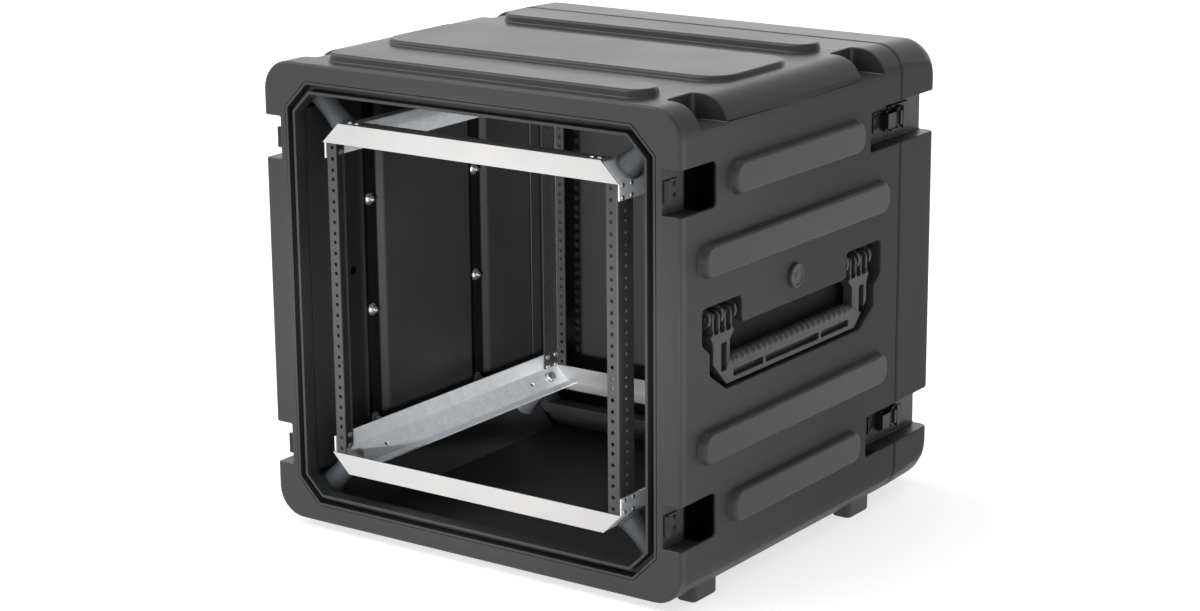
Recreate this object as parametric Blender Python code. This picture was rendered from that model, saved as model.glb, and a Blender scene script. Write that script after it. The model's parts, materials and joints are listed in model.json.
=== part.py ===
"""Shock-mount rack case for 19-inch equipment, with its rear lid latched on and its front lid off.

Sizes are in millimetres and the meshes are in metres.
While a piece is being shaped, x runs right from the middle, y runs back from the front face
and z runs up from the middle of the rack. placed() turns that into the part's own frame.
"""

import math

import bmesh
import bpy
from mathutils import Vector

MM = 0.001
FIT = 0.3

# Rack standard
RACK_UNITS = 10
RACK_UNIT = 44.45
RACK_HOLES_APART = 465.1
RACK_OPENING = 450.0
RACK_HOLE_HEIGHTS = (6.35, 22.225, 38.1)
RACK_HOLE_SIZE = 5.4

# Moulded body
BODY_WIDTH = 690.0
BODY_HEIGHT = 660.0
BODY_DEPTH = 562.0
CORNER_R = 42.0
WALL = 6.0
RIM_THICK = 8.0
EDGE_R = 2.5

# Rear lid
SEAM = 1.5
LID_DEPTH = 103.5
LID_TAPER = 2.0
LID_SIDE_R = 13.0
LID_TOP_R = 33.0
LID_BACK_WALL = 12.0
LID_RECESS = 6.0
LID_RECESS_MARGIN = 110.0
LID_RECESS_R = 30.0
LID_RIB_X = 75.0
LID_RIB_WIDE = 40.0
LID_RIB_HIGH = 10.0

# Closure frames at both openings
OPENING_SIDE_MARGIN = 38.0
OPENING_END_MARGIN = 25.0
OPENING_CLIP = 37.0
FRAME_WIDE = 17.0
FRAME_DEEP = 22.0
FRAME_LIP = 4.0
GROOVE_DEEP = 14.0
GASKET_THICK = 3.0
GASKET_SIDE = 0.5
TONGUE_SIDE = 1.5
TONGUE_LONG = 10.0
TONGUE_BASE = 16.0

# Raised pads on the sides
PAD_HIGH = 11.0
PAD_DRAFT = 4.5
PAD_TALL = 50.0
PAD_R = 22.0
LONG_PAD_LENGTH = 481.0
LONG_PAD_Z = 125.0
SHORT_PAD_LENGTH = 337.0
SHORT_PAD_FROM_END = 107.5

# Latch notches in the side edges
NOTCH_DEEP = 28.0
NOTCH_FROM_END = 108.0
NOTCH_TALL = 60.0
NOTCH_LENGTH = 84.0
WELL_LONG = 30.0
WELL_DEEP = 7.0
NOTCH_R = 8.0
REAR_NOTCH_R = 4.0

# Ribs on top
RIB_END_MARGIN = 78.0
RIB_WIDE = 62.0
RIB_HIGH = 11.0
RIB_R = 30.0
FRONT_RIB_Y = 61.0
REAR_RIB_Y = 461.0
PANEL_END_MARGIN = 54.0
PANEL_Y = 274.0
PANEL_WIDE = 192.0
PANEL_HIGH = 7.0
PANEL_R = 45.0
RIB_DRAFT = 3.0

# Stacking pockets in the top edges and the feet that fit them
STACK_WIDE = 55.0
STACK_DEEP = 34.0
STACK_Y = 202.0
STACK_LONG = 64.0
STACK_R = 8.0
FOOT_MARGIN = 27.0
FOOT_WIDE = 30.0
FOOT_LONG = 56.0
FOOT_DROP = 11.0
FOOT_R = 6.0
FOOT_ROOT = 16.0

# Webs across the inner corners, which carry the shock mounts
WEB_CORNER = 103.0
WEB_THICK = 5.0
WEB_INSET = 24.0

# Handle pockets and handles
POCKET_DEEP = 34.0
POCKET_HALF_Y = 230.0
POCKET_TOP_Z = 62.0
POCKET_SHOULDER_Z = 14.0
POCKET_WAIST_HALF_Y = 212.0
POCKET_WAIST_Z = -30.0
POCKET_FOOT_HALF_Y = 172.0
POCKET_BOTTOM_Z = -57.0
POCKET_STEP_HALF_Y = 135.0
POCKET_STEP_Z = 24.5
POCKET_R = 7.0
PIVOT_DEEP = 13.0
PIVOT_Z = 43.0
PIN_R = 4.0
PIN_CLEAR = 0.4
KNUCKLE_R = 8.5
KNUCKLE_WIDE = 24.0
PRONG_THICK = 5.0
PRONG_GAP = 26.0
PRONG_SHY = 3.0
PRONG_HALF_TALL = 14.0
BRACKET_Y = 176.0
BRACKET_PLATE = 3.5
BRACKET_BOTTOM_Z = 18.0
BRACKET_TOP_Z = 58.0
BRACKET_MARGIN = 4.0
HANDLE_SHY = 4.0
HANDLE_THICK = 15.0
HANDLE_HALF_Y = 198.0
ARM_WIDE = 40.0
ARM_TOP_Z = 25.0
ARM_HEAD = 9.0
ARM_FLARE = 9.0
HANDLE_BOTTOM_Z = -53.0
HANDLE_CLIP = 33.0
GRIP_R = 10.0
GRIP_Z = -26.0
GRIP_DEEP = 13.0
WINDOW_TOP_Z = -37.0
WINDOW_BOTTOM_Z = -46.0
WINDOW_DEEP = 9.0
TIE_Y = 72.0
TIE_WIDE = 6.0

# Pressure valve
VALVE_Y = -3.0
VALVE_Z = 60.0
VALVE_R = 17.0
VALVE_HIGH = 5.0
VALVE_DOME_R = 11.0

# Latches and keepers
KEEPER_LONG = 29.0
KEEPER_TALL = 29.0
KEEPER_THICK = 2.0
KEEPER_SETBACK = 3.0
KEEPER_LIP_WIDE = 4.0
KEEPER_LIP_HIGH = 8.0
RIVET_R = 3.0
RIVET_HIGH = 1.6
RIVET_SPREAD = 7.5
LATCH_SETBACK = 6.0
LATCH_LONG = 58.0
LATCH_TALL = 38.0
LATCH_PLATE = 2.0
LATCH_AXIS = 32.0
LATCH_RIVET = 14.0
CHEEK_WIDE = 3.0
HOOK_WIDE = 22.0
HOOK_THICK = 3.0
HOOK_RISE = 8.5
HOOK_RAMP = 6.0
HOOK_TIP = 3.2
HOOK_TAIL = 14.0
HOOK_TRAVEL = 7.0
ROTOR_R = 17.0
ROTOR_THICK = 4.0
ROTOR_PIN_R = 4.0
HUB_LONG = 6.0
HUB_WIDE = 20.0
WING_R = 16.0
WING_THICK = 3.0

# Inner side liners
LINER_SETBACK = 54.0
LINER_THICK = 4.0
LINER_END_MARGIN = 68.0
LINER_MOUNT_MARGIN = 29.0
LINER_INSET = 25.0
FRONT_CHANNEL_Y = -116.0
REAR_CHANNEL_Y = 128.0
CHANNEL_WIDE = 46.0
CHANNEL_SLOPE = 8.0
BOLT_PITCH = 164.0
BOLT_MIDDLE_Z = -58.0
WASHER_R = 9.0
WASHER_THICK = 1.6
NUT_R = 5.5
NUT_THICK = 4.5
STUD_R = 3.0
STUD_LONG = 4.0

# Inner frame
RAIL_SETBACK = 9.0
RAIL_THICK = 2.0
RAIL_OUTER_X = 243.0
RAIL_DEEP = 35.0
FRAME_REAR_SETBACK = 23.0
BAR_THICK = 2.5
BAR_GAP = 0.5
BAR_EDGE_Z = 200.0
BAR_FLANGE_Z = 224.0
BAR_OUTER_Z = 248.0
BAR_LIP = 16.0
CROSS_THICK = 2.2
CROSS_GAP = 0.4
CROSS_EDGE = 0.4
CROSS_FLANGE = 28.0
CROSS_INNER_Z = 222.6
CROSS_HALF_X = 247.0
SCREW_R = 4.0
SCREW_HIGH = 2.0
SCREW_SPREAD = 5.5
SCREW_Z = 211.0
MOUNT_FROM_END = 35.0
MOUNT_R = 17.0
MOUNT_PLATE_R = 19.0
MOUNT_PLATE = 4.0
HEAD_R = 7.0
HEAD_HIGH = 5.0

# Sizes that follow from those above
HALF_W = BODY_WIDTH / 2
HALF_H = BODY_HEIGHT / 2
OPENING_HALF_X = HALF_W - OPENING_SIDE_MARGIN
OPENING_HALF_Z = HALF_H - OPENING_END_MARGIN
NOTCH_FLOOR_X = HALF_W - NOTCH_DEEP
NOTCH_Z = HALF_H - NOTCH_FROM_END
SHORT_PAD_Z = HALF_H - SHORT_PAD_FROM_END
RIB_HALF_X = HALF_W - RIB_END_MARGIN
PANEL_HALF_X = HALF_W - PANEL_END_MARGIN
STACK_X = HALF_W - STACK_WIDE
FOOT_X = HALF_W - FOOT_MARGIN
WEB_SUM = HALF_W + HALF_H - WEB_CORNER
POCKET_FLOOR_X = HALF_W - POCKET_DEEP
PIVOT_X = HALF_W - PIVOT_DEEP
PRONG_REACH = HALF_W - PRONG_SHY
HANDLE_OUTER_X = HALF_W - HANDLE_SHY
HANDLE_INNER_X = HANDLE_OUTER_X - HANDLE_THICK
GRIP_X = HALF_W - GRIP_DEEP
LINER_X = HALF_W - LINER_SETBACK
LINER_HALF_Z = min(HALF_H - LINER_END_MARGIN, LINER_X - LINER_MOUNT_MARGIN)
MID_Y = BODY_DEPTH / 2
LID_FRONT = BODY_DEPTH + SEAM
LID_BACK = LID_FRONT + LID_DEPTH
CENTRE_Z = FOOT_DROP + HALF_H
RACK_HALF_Z = RACK_UNITS * RACK_UNIT / 2
RAIL_INNER_X = RACK_OPENING / 2
FRAME_LENGTH = BODY_DEPTH - RAIL_SETBACK - FRAME_REAR_SETBACK
FRAME_BACK = RAIL_SETBACK + FRAME_LENGTH
FRAME_MID_Y = RAIL_SETBACK + FRAME_LENGTH / 2
MOUNT_Y = FRAME_LENGTH / 2 - MOUNT_FROM_END
BAR_X = RAIL_OUTER_X + BAR_GAP
DIAGONAL = math.sqrt(0.5)
LATCH_Y = LID_FRONT + LATCH_AXIS
BASE_TOP_X = NOTCH_FLOOR_X + FIT + LATCH_PLATE
HOOK_X = BASE_TOP_X + FIT
ROTOR_X = HOOK_X + HOOK_THICK + FIT
WING_X = ROTOR_X + ROTOR_THICK + FIT
KEEPER_TOP_X = NOTCH_FLOOR_X + FIT + KEEPER_THICK
CHANNEL_X = POCKET_FLOOR_X - WALL - FIT - LINER_THICK
WELL_FLOOR_X = NOTCH_FLOOR_X - WELL_DEEP

MOULDED = ((0.085, 0.088, 0.092), 0.55, 0.0)
FRAME_BLACK = ((0.03, 0.03, 0.032), 0.4, 0.6)
RUBBER = ((0.02, 0.02, 0.02), 0.8, 0.0)
GREY_RUBBER = ((0.16, 0.18, 0.21), 0.7, 0.0)
ZINC = ((0.55, 0.58, 0.62), 0.32, 1.0)
PALE_STEEL = ((0.72, 0.73, 0.72), 0.4, 0.5)
RAIL_GREY = ((0.14, 0.14, 0.15), 0.4, 0.6)
BLACK_STEEL = ((0.05, 0.05, 0.055), 0.38, 0.7)
BLACK_NYLON = ((0.035, 0.036, 0.04), 0.5, 0.0)
SIDES = {"right": 1, "left": -1}
LEVELS = {"upper": 1, "lower": -1}
ENDS = {"front": -1, "rear": 1}


def placed(point):
    x, y, z = point
    return Vector((x, y - LID_BACK / 2, z + CENTRE_Z)) * MM


def rounded(corners, radius, steps, sharp=()):
    """The outline through these corners, each turned into an arc unless its index is in sharp."""
    outline = []
    for index, corner in enumerate(corners):
        if index in sharp:
            outline.append(corner)
            continue
        here = Vector(corner)
        to_last = (Vector(corners[index - 1]) - here).normalized()
        to_next = (Vector(corners[(index + 1) % len(corners)]) - here).normalized()
        half = math.acos(max(-1.0, min(1.0, to_last.dot(to_next)))) / 2
        middle = here + (to_last + to_next).normalized() * radius / math.sin(half)
        start = here + to_last * radius / math.tan(half) - middle
        end = here + to_next * radius / math.tan(half) - middle
        sweep = math.pi - 2 * half
        for step in range(steps + 1):
            t = step / steps
            near = math.sin((1 - t) * sweep) / math.sin(sweep)
            far = math.sin(t * sweep) / math.sin(sweep)
            outline.append(tuple(middle + start * near + end * far))
    return outline


def rectangle(u, v, half_u, half_v):
    return [
        (u - half_u, v - half_v),
        (u + half_u, v - half_v),
        (u + half_u, v + half_v),
        (u - half_u, v + half_v),
    ]


def pill(u, v, half_u, half_v, radius, steps):
    return rounded(rectangle(u, v, half_u, half_v), radius, steps)


def circle(u, v, radius, count):
    turns = [2 * math.pi * (index + 0.5) / count for index in range(count)]
    return [(u + radius * math.cos(a), v + radius * math.sin(a)) for a in turns]


def case_outline(inset):
    return pill(0, 0, HALF_W - inset, HALF_H - inset, CORNER_R - min(inset, WALL), 8)


def edge_inset(radius, depth):
    """How far a rounded edge has drawn in at this depth below its face."""
    if depth >= radius:
        return 0.0
    return radius - math.sqrt(radius**2 - (radius - depth) ** 2)


def octagon(inset):
    """The closure frame's outline, moved inwards by the same distance on all eight sides."""
    half_x = OPENING_HALF_X - inset
    half_z = OPENING_HALF_Z - inset
    clip = OPENING_CLIP - inset * (2 - math.sqrt(2))
    return [
        (half_x, clip - half_z),
        (half_x, half_z - clip),
        (half_x - clip, half_z),
        (clip - half_x, half_z),
        (-half_x, half_z - clip),
        (-half_x, clip - half_z),
        (clip - half_x, -half_z),
        (half_x - clip, -half_z),
    ]


def loft(bm, rings, origin=(0, 0, 0)):
    """A closed skin through rings of equal length, with a flat cap on each end."""
    shift = placed(origin) if origin != (0, 0, 0) else Vector()
    loops = [[bm.verts.new(placed(p) - shift) for p in ring] for ring in rings]
    count = len(loops[0])
    for near, far in zip(loops, loops[1:]):
        for i in range(count):
            j = (i + 1) % count
            bm.faces.new((near[i], near[j], far[j], far[i]))
    bm.faces.new(loops[0])
    bm.faces.new(loops[-1])


def hoop(bm, rings):
    """A closed skin through rings that ends where it began, as round a frame."""
    loops = [[bm.verts.new(placed(p)) for p in ring] for ring in rings]
    count = len(loops[0])
    for index, near in enumerate(loops):
        far = loops[(index + 1) % len(loops)]
        for i in range(count):
            j = (i + 1) % count
            bm.faces.new((near[i], near[j], far[j], far[i]))


def along_x(outline, low, high, side=1):
    return [[(side * x, y, z) for y, z in outline] for x in (low, high)]


def along_y(outline, low, high):
    return [[(x, y, z) for x, z in outline] for y in (low, high)]


def along_z(outline, low, high):
    return [[(x, y, z) for x, y in outline] for z in (low, high)]


def mesh_of(name, solids, origin=(0, 0, 0)):
    bm = bmesh.new()
    for rings in solids:
        loft(bm, rings, origin)
    return finished(name, bm)


def finished(name, bm):
    bmesh.ops.recalc_face_normals(bm, faces=bm.faces)
    mesh = bpy.data.meshes.new(name)
    bm.to_mesh(mesh)
    bm.free()
    return mesh


def painted(name, finish):
    colour, roughness, metallic = finish
    material = bpy.data.materials.new(name)
    material.use_nodes = True
    shader = material.node_tree.nodes["Principled BSDF"]
    shader.inputs["Base Color"].default_value = (*colour, 1.0)
    shader.inputs["Roughness"].default_value = roughness
    shader.inputs["Metallic"].default_value = metallic
    return material


def piece(name, mesh, finish, origin=(0, 0, 0)):
    obj = bpy.data.objects.new(name, mesh)
    if origin != (0, 0, 0):
        obj.location = placed(origin)
    mesh.materials.append(painted(name, finish))
    bpy.context.scene.collection.objects.link(obj)
    return obj


def combine(obj, operation, solids):
    """Adds or takes away solids that don't touch one another."""
    name = f"{obj.name}_{operation.lower()}_{len(obj.modifiers)}"
    helper = bpy.data.objects.new(name, mesh_of(name, solids))
    helper.hide_render = True
    helper.display_type = "WIRE"
    bpy.context.scene.collection.objects.link(helper)
    boolean = obj.modifiers.new(name, "BOOLEAN")
    boolean.operation = operation
    boolean.solver = "EXACT"
    boolean.object = helper


def join(obj, *solids):
    combine(obj, "UNION", solids)


def cut(obj, *solids):
    combine(obj, "DIFFERENCE", solids)


def pad(side, y, z, length):
    steps = ((-2.0, 0.0), (PAD_HIGH * 0.75, PAD_DRAFT * 0.7), (PAD_HIGH, PAD_DRAFT + 1.5))
    rings = []
    for out, inset in steps:
        outline = pill(y, z, length / 2 - inset, PAD_TALL / 2 - inset, PAD_R - inset, 6)
        rings.append([(side * (HALF_W + out), a, b) for a, b in outline])
    return rings


def top_rib(half_x, y, wide, high, radius):
    rings = []
    for up, inset in ((-2.0, 0.0), (high - 2.0, RIB_DRAFT * 0.6), (high, RIB_DRAFT + 1.5)):
        outline = pill(0, y, half_x - inset, wide / 2 - inset, radius - inset, 6)
        rings.append([(a, b, HALF_H + up) for a, b in outline])
    return rings


def notch_radius(end):
    return NOTCH_R if end < 0 else REAR_NOTCH_R


def notch(side, level, end, grow):
    """A latch notch open to the front or rear of the body. grow makes the wall round it."""
    tall = NOTCH_TALL / 2 + grow
    mouth = 5.0 if grow == 0 else 1.0 - RIM_THICK
    high = HALF_W + 20.0 if grow == 0 else HALF_W - WALL + 2.0
    near = MID_Y + end * (MID_Y - NOTCH_LENGTH - grow)
    far = MID_Y + end * (MID_Y + mouth)
    corners = [(near, -tall), (far, -tall), (far, tall), (near, tall)]
    outline = rounded(corners, notch_radius(end), 3, sharp=(1, 2))
    outline = [(y, level * NOTCH_Z + z) for y, z in outline]
    return along_x(outline, NOTCH_FLOOR_X - grow, high, side)


def finger_well(side, level, end, grow):
    """The deep end of a latch notch, below its floor. grow makes the wall round it."""
    tall = NOTCH_TALL / 2 + grow
    near = MID_Y + end * (MID_Y - NOTCH_LENGTH - grow)
    far = MID_Y + end * (MID_Y - NOTCH_LENGTH + WELL_LONG + grow)
    corners = [(near, -tall), (far, -tall), (far, tall), (near, tall)]
    outline = rounded(corners, notch_radius(end), 3, sharp=(1, 2))
    outline = [(y, level * NOTCH_Z + z) for y, z in outline]
    return along_x(outline, WELL_FLOOR_X - grow, NOTCH_FLOOR_X + 1.0, side)


def lid_notch(side, level, grow):
    tall = NOTCH_TALL / 2 + grow
    front = LID_FRONT - 5.0 if grow == 0 else LID_FRONT + 3.0
    back = LID_BACK + 20.0 if grow == 0 else LID_BACK - LID_BACK_WALL + 3.0
    high = HALF_W + 20.0 if grow == 0 else HALF_W - WALL - LID_TAPER + 1.0
    outline = rectangle((front + back) / 2, level * NOTCH_Z, (back - front) / 2, tall)
    return along_x(outline, NOTCH_FLOOR_X - grow, high, side)


def handle_pocket(side, grow):
    """A handle pocket. grow makes the wall round it."""
    half = [
        (POCKET_STEP_HALF_Y - grow, POCKET_TOP_Z + grow),
        (POCKET_HALF_Y + grow, POCKET_TOP_Z + grow),
        (POCKET_HALF_Y + grow, POCKET_SHOULDER_Z - grow * 0.5),
        (POCKET_WAIST_HALF_Y + grow, -grow * 0.5),
        (POCKET_WAIST_HALF_Y + grow, POCKET_WAIST_Z - grow * 0.5),
        (POCKET_FOOT_HALF_Y + grow * 0.3, POCKET_BOTTOM_Z - grow),
    ]
    step = [(POCKET_STEP_HALF_Y - grow, POCKET_STEP_Z + grow)]
    right = [(MID_Y + y, z) for y, z in step + half]
    left = [(MID_Y - y, z) for y, z in reversed(step + half)]
    outline = rounded(right + left, POCKET_R, 3)
    high = HALF_W + 20.0 if grow == 0 else HALF_W - WALL + 2.0
    return along_x(outline, POCKET_FLOOR_X - grow, high, side)


def stack_pocket(side, end):
    outer = HALF_W + 20.0
    y = MID_Y + end * STACK_Y
    half_x = (outer - STACK_X) / 2
    outline = pill(side * (STACK_X + half_x), y, half_x, STACK_LONG / 2, STACK_R, 3)
    return along_z(outline, HALF_H - STACK_DEEP, HALF_H + 20.0)


def stack_pocket_wall(side, end):
    """The wall round a stacking pocket, kept inside the body's rounded edge."""
    reach = CORNER_R - WALL + 2.0
    middle_x = HALF_W - CORNER_R
    middle_z = HALF_H - CORNER_R
    low = HALF_H - STACK_DEEP - WALL
    first = math.asin((low - middle_z) / reach)
    outline = [(STACK_X - WALL, middle_z + reach), (STACK_X - WALL, low)]
    for step in range(9):
        a = first + (math.pi / 2 - first) * step / 8
        outline.append((middle_x + reach * math.cos(a), middle_z + reach * math.sin(a)))
    outline = [(side * x, z) for x, z in outline]
    y = MID_Y + end * STACK_Y
    half = STACK_LONG / 2 + WALL
    return along_y(outline, y - half, y + half)


def foot(side, end):
    y = MID_Y + end * STACK_Y
    rings = []
    for z, inset in ((FOOT_ROOT - HALF_H, 0.0), (2.0 - HALF_H - FOOT_DROP, 0.0), (-HALF_H - FOOT_DROP, 2.0)):
        half_x = FOOT_WIDE / 2 - inset
        outline = pill(side * FOOT_X, y, half_x, FOOT_LONG / 2 - inset, FOOT_R, 3)
        rings.append([(a, b, z) for a, b in outline])
    return rings


def corner_web(side, level):
    outer_x = HALF_W - WALL + 2.0
    outer_z = HALF_H - WALL + 2.0
    back = WEB_SUM + WEB_THICK / DIAGONAL
    outline = [
        (outer_x, WEB_SUM - outer_x),
        (outer_x, back - outer_x),
        (back - outer_z, outer_z),
        (WEB_SUM - outer_z, outer_z),
    ]
    outline = [(side * x, level * z) for x, z in outline]
    return along_y(outline, WEB_INSET, BODY_DEPTH - WEB_INSET)


def make_case_shell():
    rings = []
    for y, inset in ((0, EDGE_R), (EDGE_R, 0), (BODY_DEPTH - EDGE_R, 0), (BODY_DEPTH, EDGE_R)):
        rings.append([(x, y, z) for x, z in case_outline(inset)])
    shell = piece("case_shell", mesh_of("case_shell", [rings]), MOULDED)
    cut(shell, along_y(case_outline(WALL), RIM_THICK, BODY_DEPTH - RIM_THICK))
    cut(shell, along_y(octagon(0), -5.0, BODY_DEPTH + 5.0))
    places = [(s, v, e) for s in SIDES.values() for v in LEVELS.values() for e in ENDS.values()]
    corners = [(s, e) for s in SIDES.values() for e in ENDS.values()]
    walls = [notch(s, v, e, WALL) for s, v, e in places]
    walls += [handle_pocket(s, WALL) for s in SIDES.values()]
    walls += [stack_pocket_wall(s, e) for s, e in corners]
    join(shell, *walls)
    join(shell, *[finger_well(s, v, e, WALL) for s, v, e in places])
    join(shell, *[corner_web(s, v) for s in SIDES.values() for v in LEVELS.values()])
    join(shell, *[foot(s, e) for s, e in corners])
    hollows = [notch(s, v, e, 0) for s, v, e in places]
    hollows += [handle_pocket(s, 0) for s in SIDES.values()]
    hollows += [stack_pocket(s, e) for s, e in corners]
    cut(shell, *hollows)
    cut(shell, *[finger_well(s, v, e, 0) for s, v, e in places])
    raised = []
    for side in SIDES.values():
        for level in LEVELS.values():
            raised.append(pad(side, MID_Y, level * LONG_PAD_Z, LONG_PAD_LENGTH))
            raised.append(pad(side, MID_Y, level * SHORT_PAD_Z, SHORT_PAD_LENGTH))
    raised.append(top_rib(RIB_HALF_X, FRONT_RIB_Y, RIB_WIDE, RIB_HIGH, RIB_R))
    raised.append(top_rib(PANEL_HALF_X, PANEL_Y, PANEL_WIDE, PANEL_HIGH, PANEL_R))
    raised.append(top_rib(RIB_HALF_X, REAR_RIB_Y, RIB_WIDE, RIB_HIGH, RIB_R))
    join(shell, *raised)


def make_frame(name, profile, finish):
    bm = bmesh.new()
    hoop(bm, [[(x, y, z) for x, z in octagon(inset)] for inset, y in profile])
    piece(name, finished(name, bm), finish)


def make_closures():
    lip_in = FRAME_WIDE - FRAME_LIP
    valance = [
        (FIT, 0),
        (FRAME_LIP, 0),
        (FRAME_LIP, GROOVE_DEEP),
        (lip_in, GROOVE_DEEP),
        (lip_in, 0),
        (FRAME_WIDE, 0),
        (FRAME_WIDE, FRAME_DEEP),
        (FIT, FRAME_DEEP),
    ]
    bottom = GROOVE_DEEP - FIT
    gasket = [
        (FRAME_LIP + GASKET_SIDE, bottom - GASKET_THICK),
        (lip_in - GASKET_SIDE, bottom - GASKET_THICK),
        (lip_in - GASKET_SIDE, bottom),
        (FRAME_LIP + GASKET_SIDE, bottom),
    ]
    rear_valance = [(inset, BODY_DEPTH - y) for inset, y in valance]
    rear_gasket = [(inset, BODY_DEPTH - y) for inset, y in gasket]
    tip = BODY_DEPTH - TONGUE_LONG
    tongue_out = FRAME_LIP + TONGUE_SIDE
    tongue_in = lip_in - TONGUE_SIDE
    tongue = [
        (FIT, LID_FRONT),
        (tongue_out, LID_FRONT),
        (tongue_out, tip),
        (tongue_in, tip),
        (tongue_in, LID_FRONT + TONGUE_BASE),
        (FIT, LID_FRONT + TONGUE_BASE),
    ]
    make_frame("front_valance", valance, FRAME_BLACK)
    make_frame("front_gasket", gasket, RUBBER)
    make_frame("rear_valance", rear_valance, FRAME_BLACK)
    make_frame("rear_gasket", rear_gasket, RUBBER)
    make_frame("lid_tongue", tongue, FRAME_BLACK)


def lid_back_rings(wall, back):
    """The lid's rounded rear edge, or its hollow's when wall is the lid's thickness."""
    rings = []
    side_r = LID_SIDE_R - wall
    top_r = LID_TOP_R - wall
    for share in (1.0, 0.65, 0.38, 0.17, 0.05, 0.0):
        depth = top_r * share
        half_x = HALF_W - LID_TAPER - wall - edge_inset(side_r, depth)
        half_z = HALF_H - LID_TAPER - wall - edge_inset(top_r, depth)
        outline = pill(0, 0, half_x, half_z, CORNER_R - LID_TAPER - wall, 8)
        rings.append([(x, back - depth, z) for x, z in outline])
    return rings


def make_rear_lid():
    rings = [[(x, LID_FRONT, z) for x, z in case_outline(EDGE_R)]]
    rings.append([(x, LID_FRONT + EDGE_R, z) for x, z in case_outline(0)])
    rings += lid_back_rings(0.0, LID_BACK)
    lid = piece("rear_lid", mesh_of("rear_lid", [rings]), MOULDED)
    hollow = lid_back_rings(WALL, LID_BACK - LID_BACK_WALL)
    hollow.insert(0, [(x, LID_FRONT + RIM_THICK, z) for x, y, z in hollow[0]])
    cut(lid, hollow)
    cut(lid, along_y(octagon(0), LID_FRONT - 5.0, LID_FRONT + RIM_THICK + 5.0))
    places = [(s, v) for s in SIDES.values() for v in LEVELS.values()]
    join(lid, *[lid_notch(s, v, WALL) for s, v in places])
    cut(lid, *[lid_notch(s, v, 0) for s, v in places])
    margin = LID_RECESS_MARGIN
    recess = pill(0, 0, HALF_W - margin, HALF_H - margin, LID_RECESS_R, 5)
    cut(lid, along_y(recess, LID_BACK - LID_RECESS, LID_BACK + 5.0))
    ribs = []
    back = LID_BACK - LID_BACK_WALL
    for side in SIDES.values():
        half = LID_RIB_WIDE / 2
        corners = [(-half, back + 2.0), (-half * 0.6, back - LID_RIB_HIGH)]
        corners += [(half * 0.6, back - LID_RIB_HIGH), (half, back + 2.0)]
        outline = [(side * LID_RIB_X + x, y) for x, y in corners]
        tall = HALF_H - margin - LID_RECESS_R
        ribs.append(along_z(outline, -tall, tall))
    join(lid, *ribs)


def make_keeper(name, side, level, end):
    """A strike plate on a notch floor, with its lip towards the opening that end names."""
    edge = MID_Y + end * (MID_Y - KEEPER_SETBACK)
    base = NOTCH_FLOOR_X + FIT
    lip_top = base + KEEPER_LIP_HIGH
    profile = [
        (base, 0),
        (lip_top, 0),
        (lip_top, KEEPER_LIP_WIDE),
        (KEEPER_TOP_X, KEEPER_LIP_WIDE),
        (KEEPER_TOP_X, KEEPER_LONG),
        (base, KEEPER_LONG),
    ]
    outline = [(side * x, edge - end * inward) for x, inward in profile]
    middle = level * NOTCH_Z
    plate = along_z(outline, middle - KEEPER_TALL / 2, middle + KEEPER_TALL / 2)
    keeper = piece(name, mesh_of(name, [plate]), BLACK_STEEL)
    y = edge - end * (KEEPER_LONG - 2 * RIVET_R)
    top = KEEPER_TOP_X + RIVET_HIGH
    rivets = [circle(y, middle + s * RIVET_SPREAD, RIVET_R, 10) for s in (-1, 1)]
    join(keeper, *[along_x(rivet, KEEPER_TOP_X - 1.0, top, side) for rivet in rivets])


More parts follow.
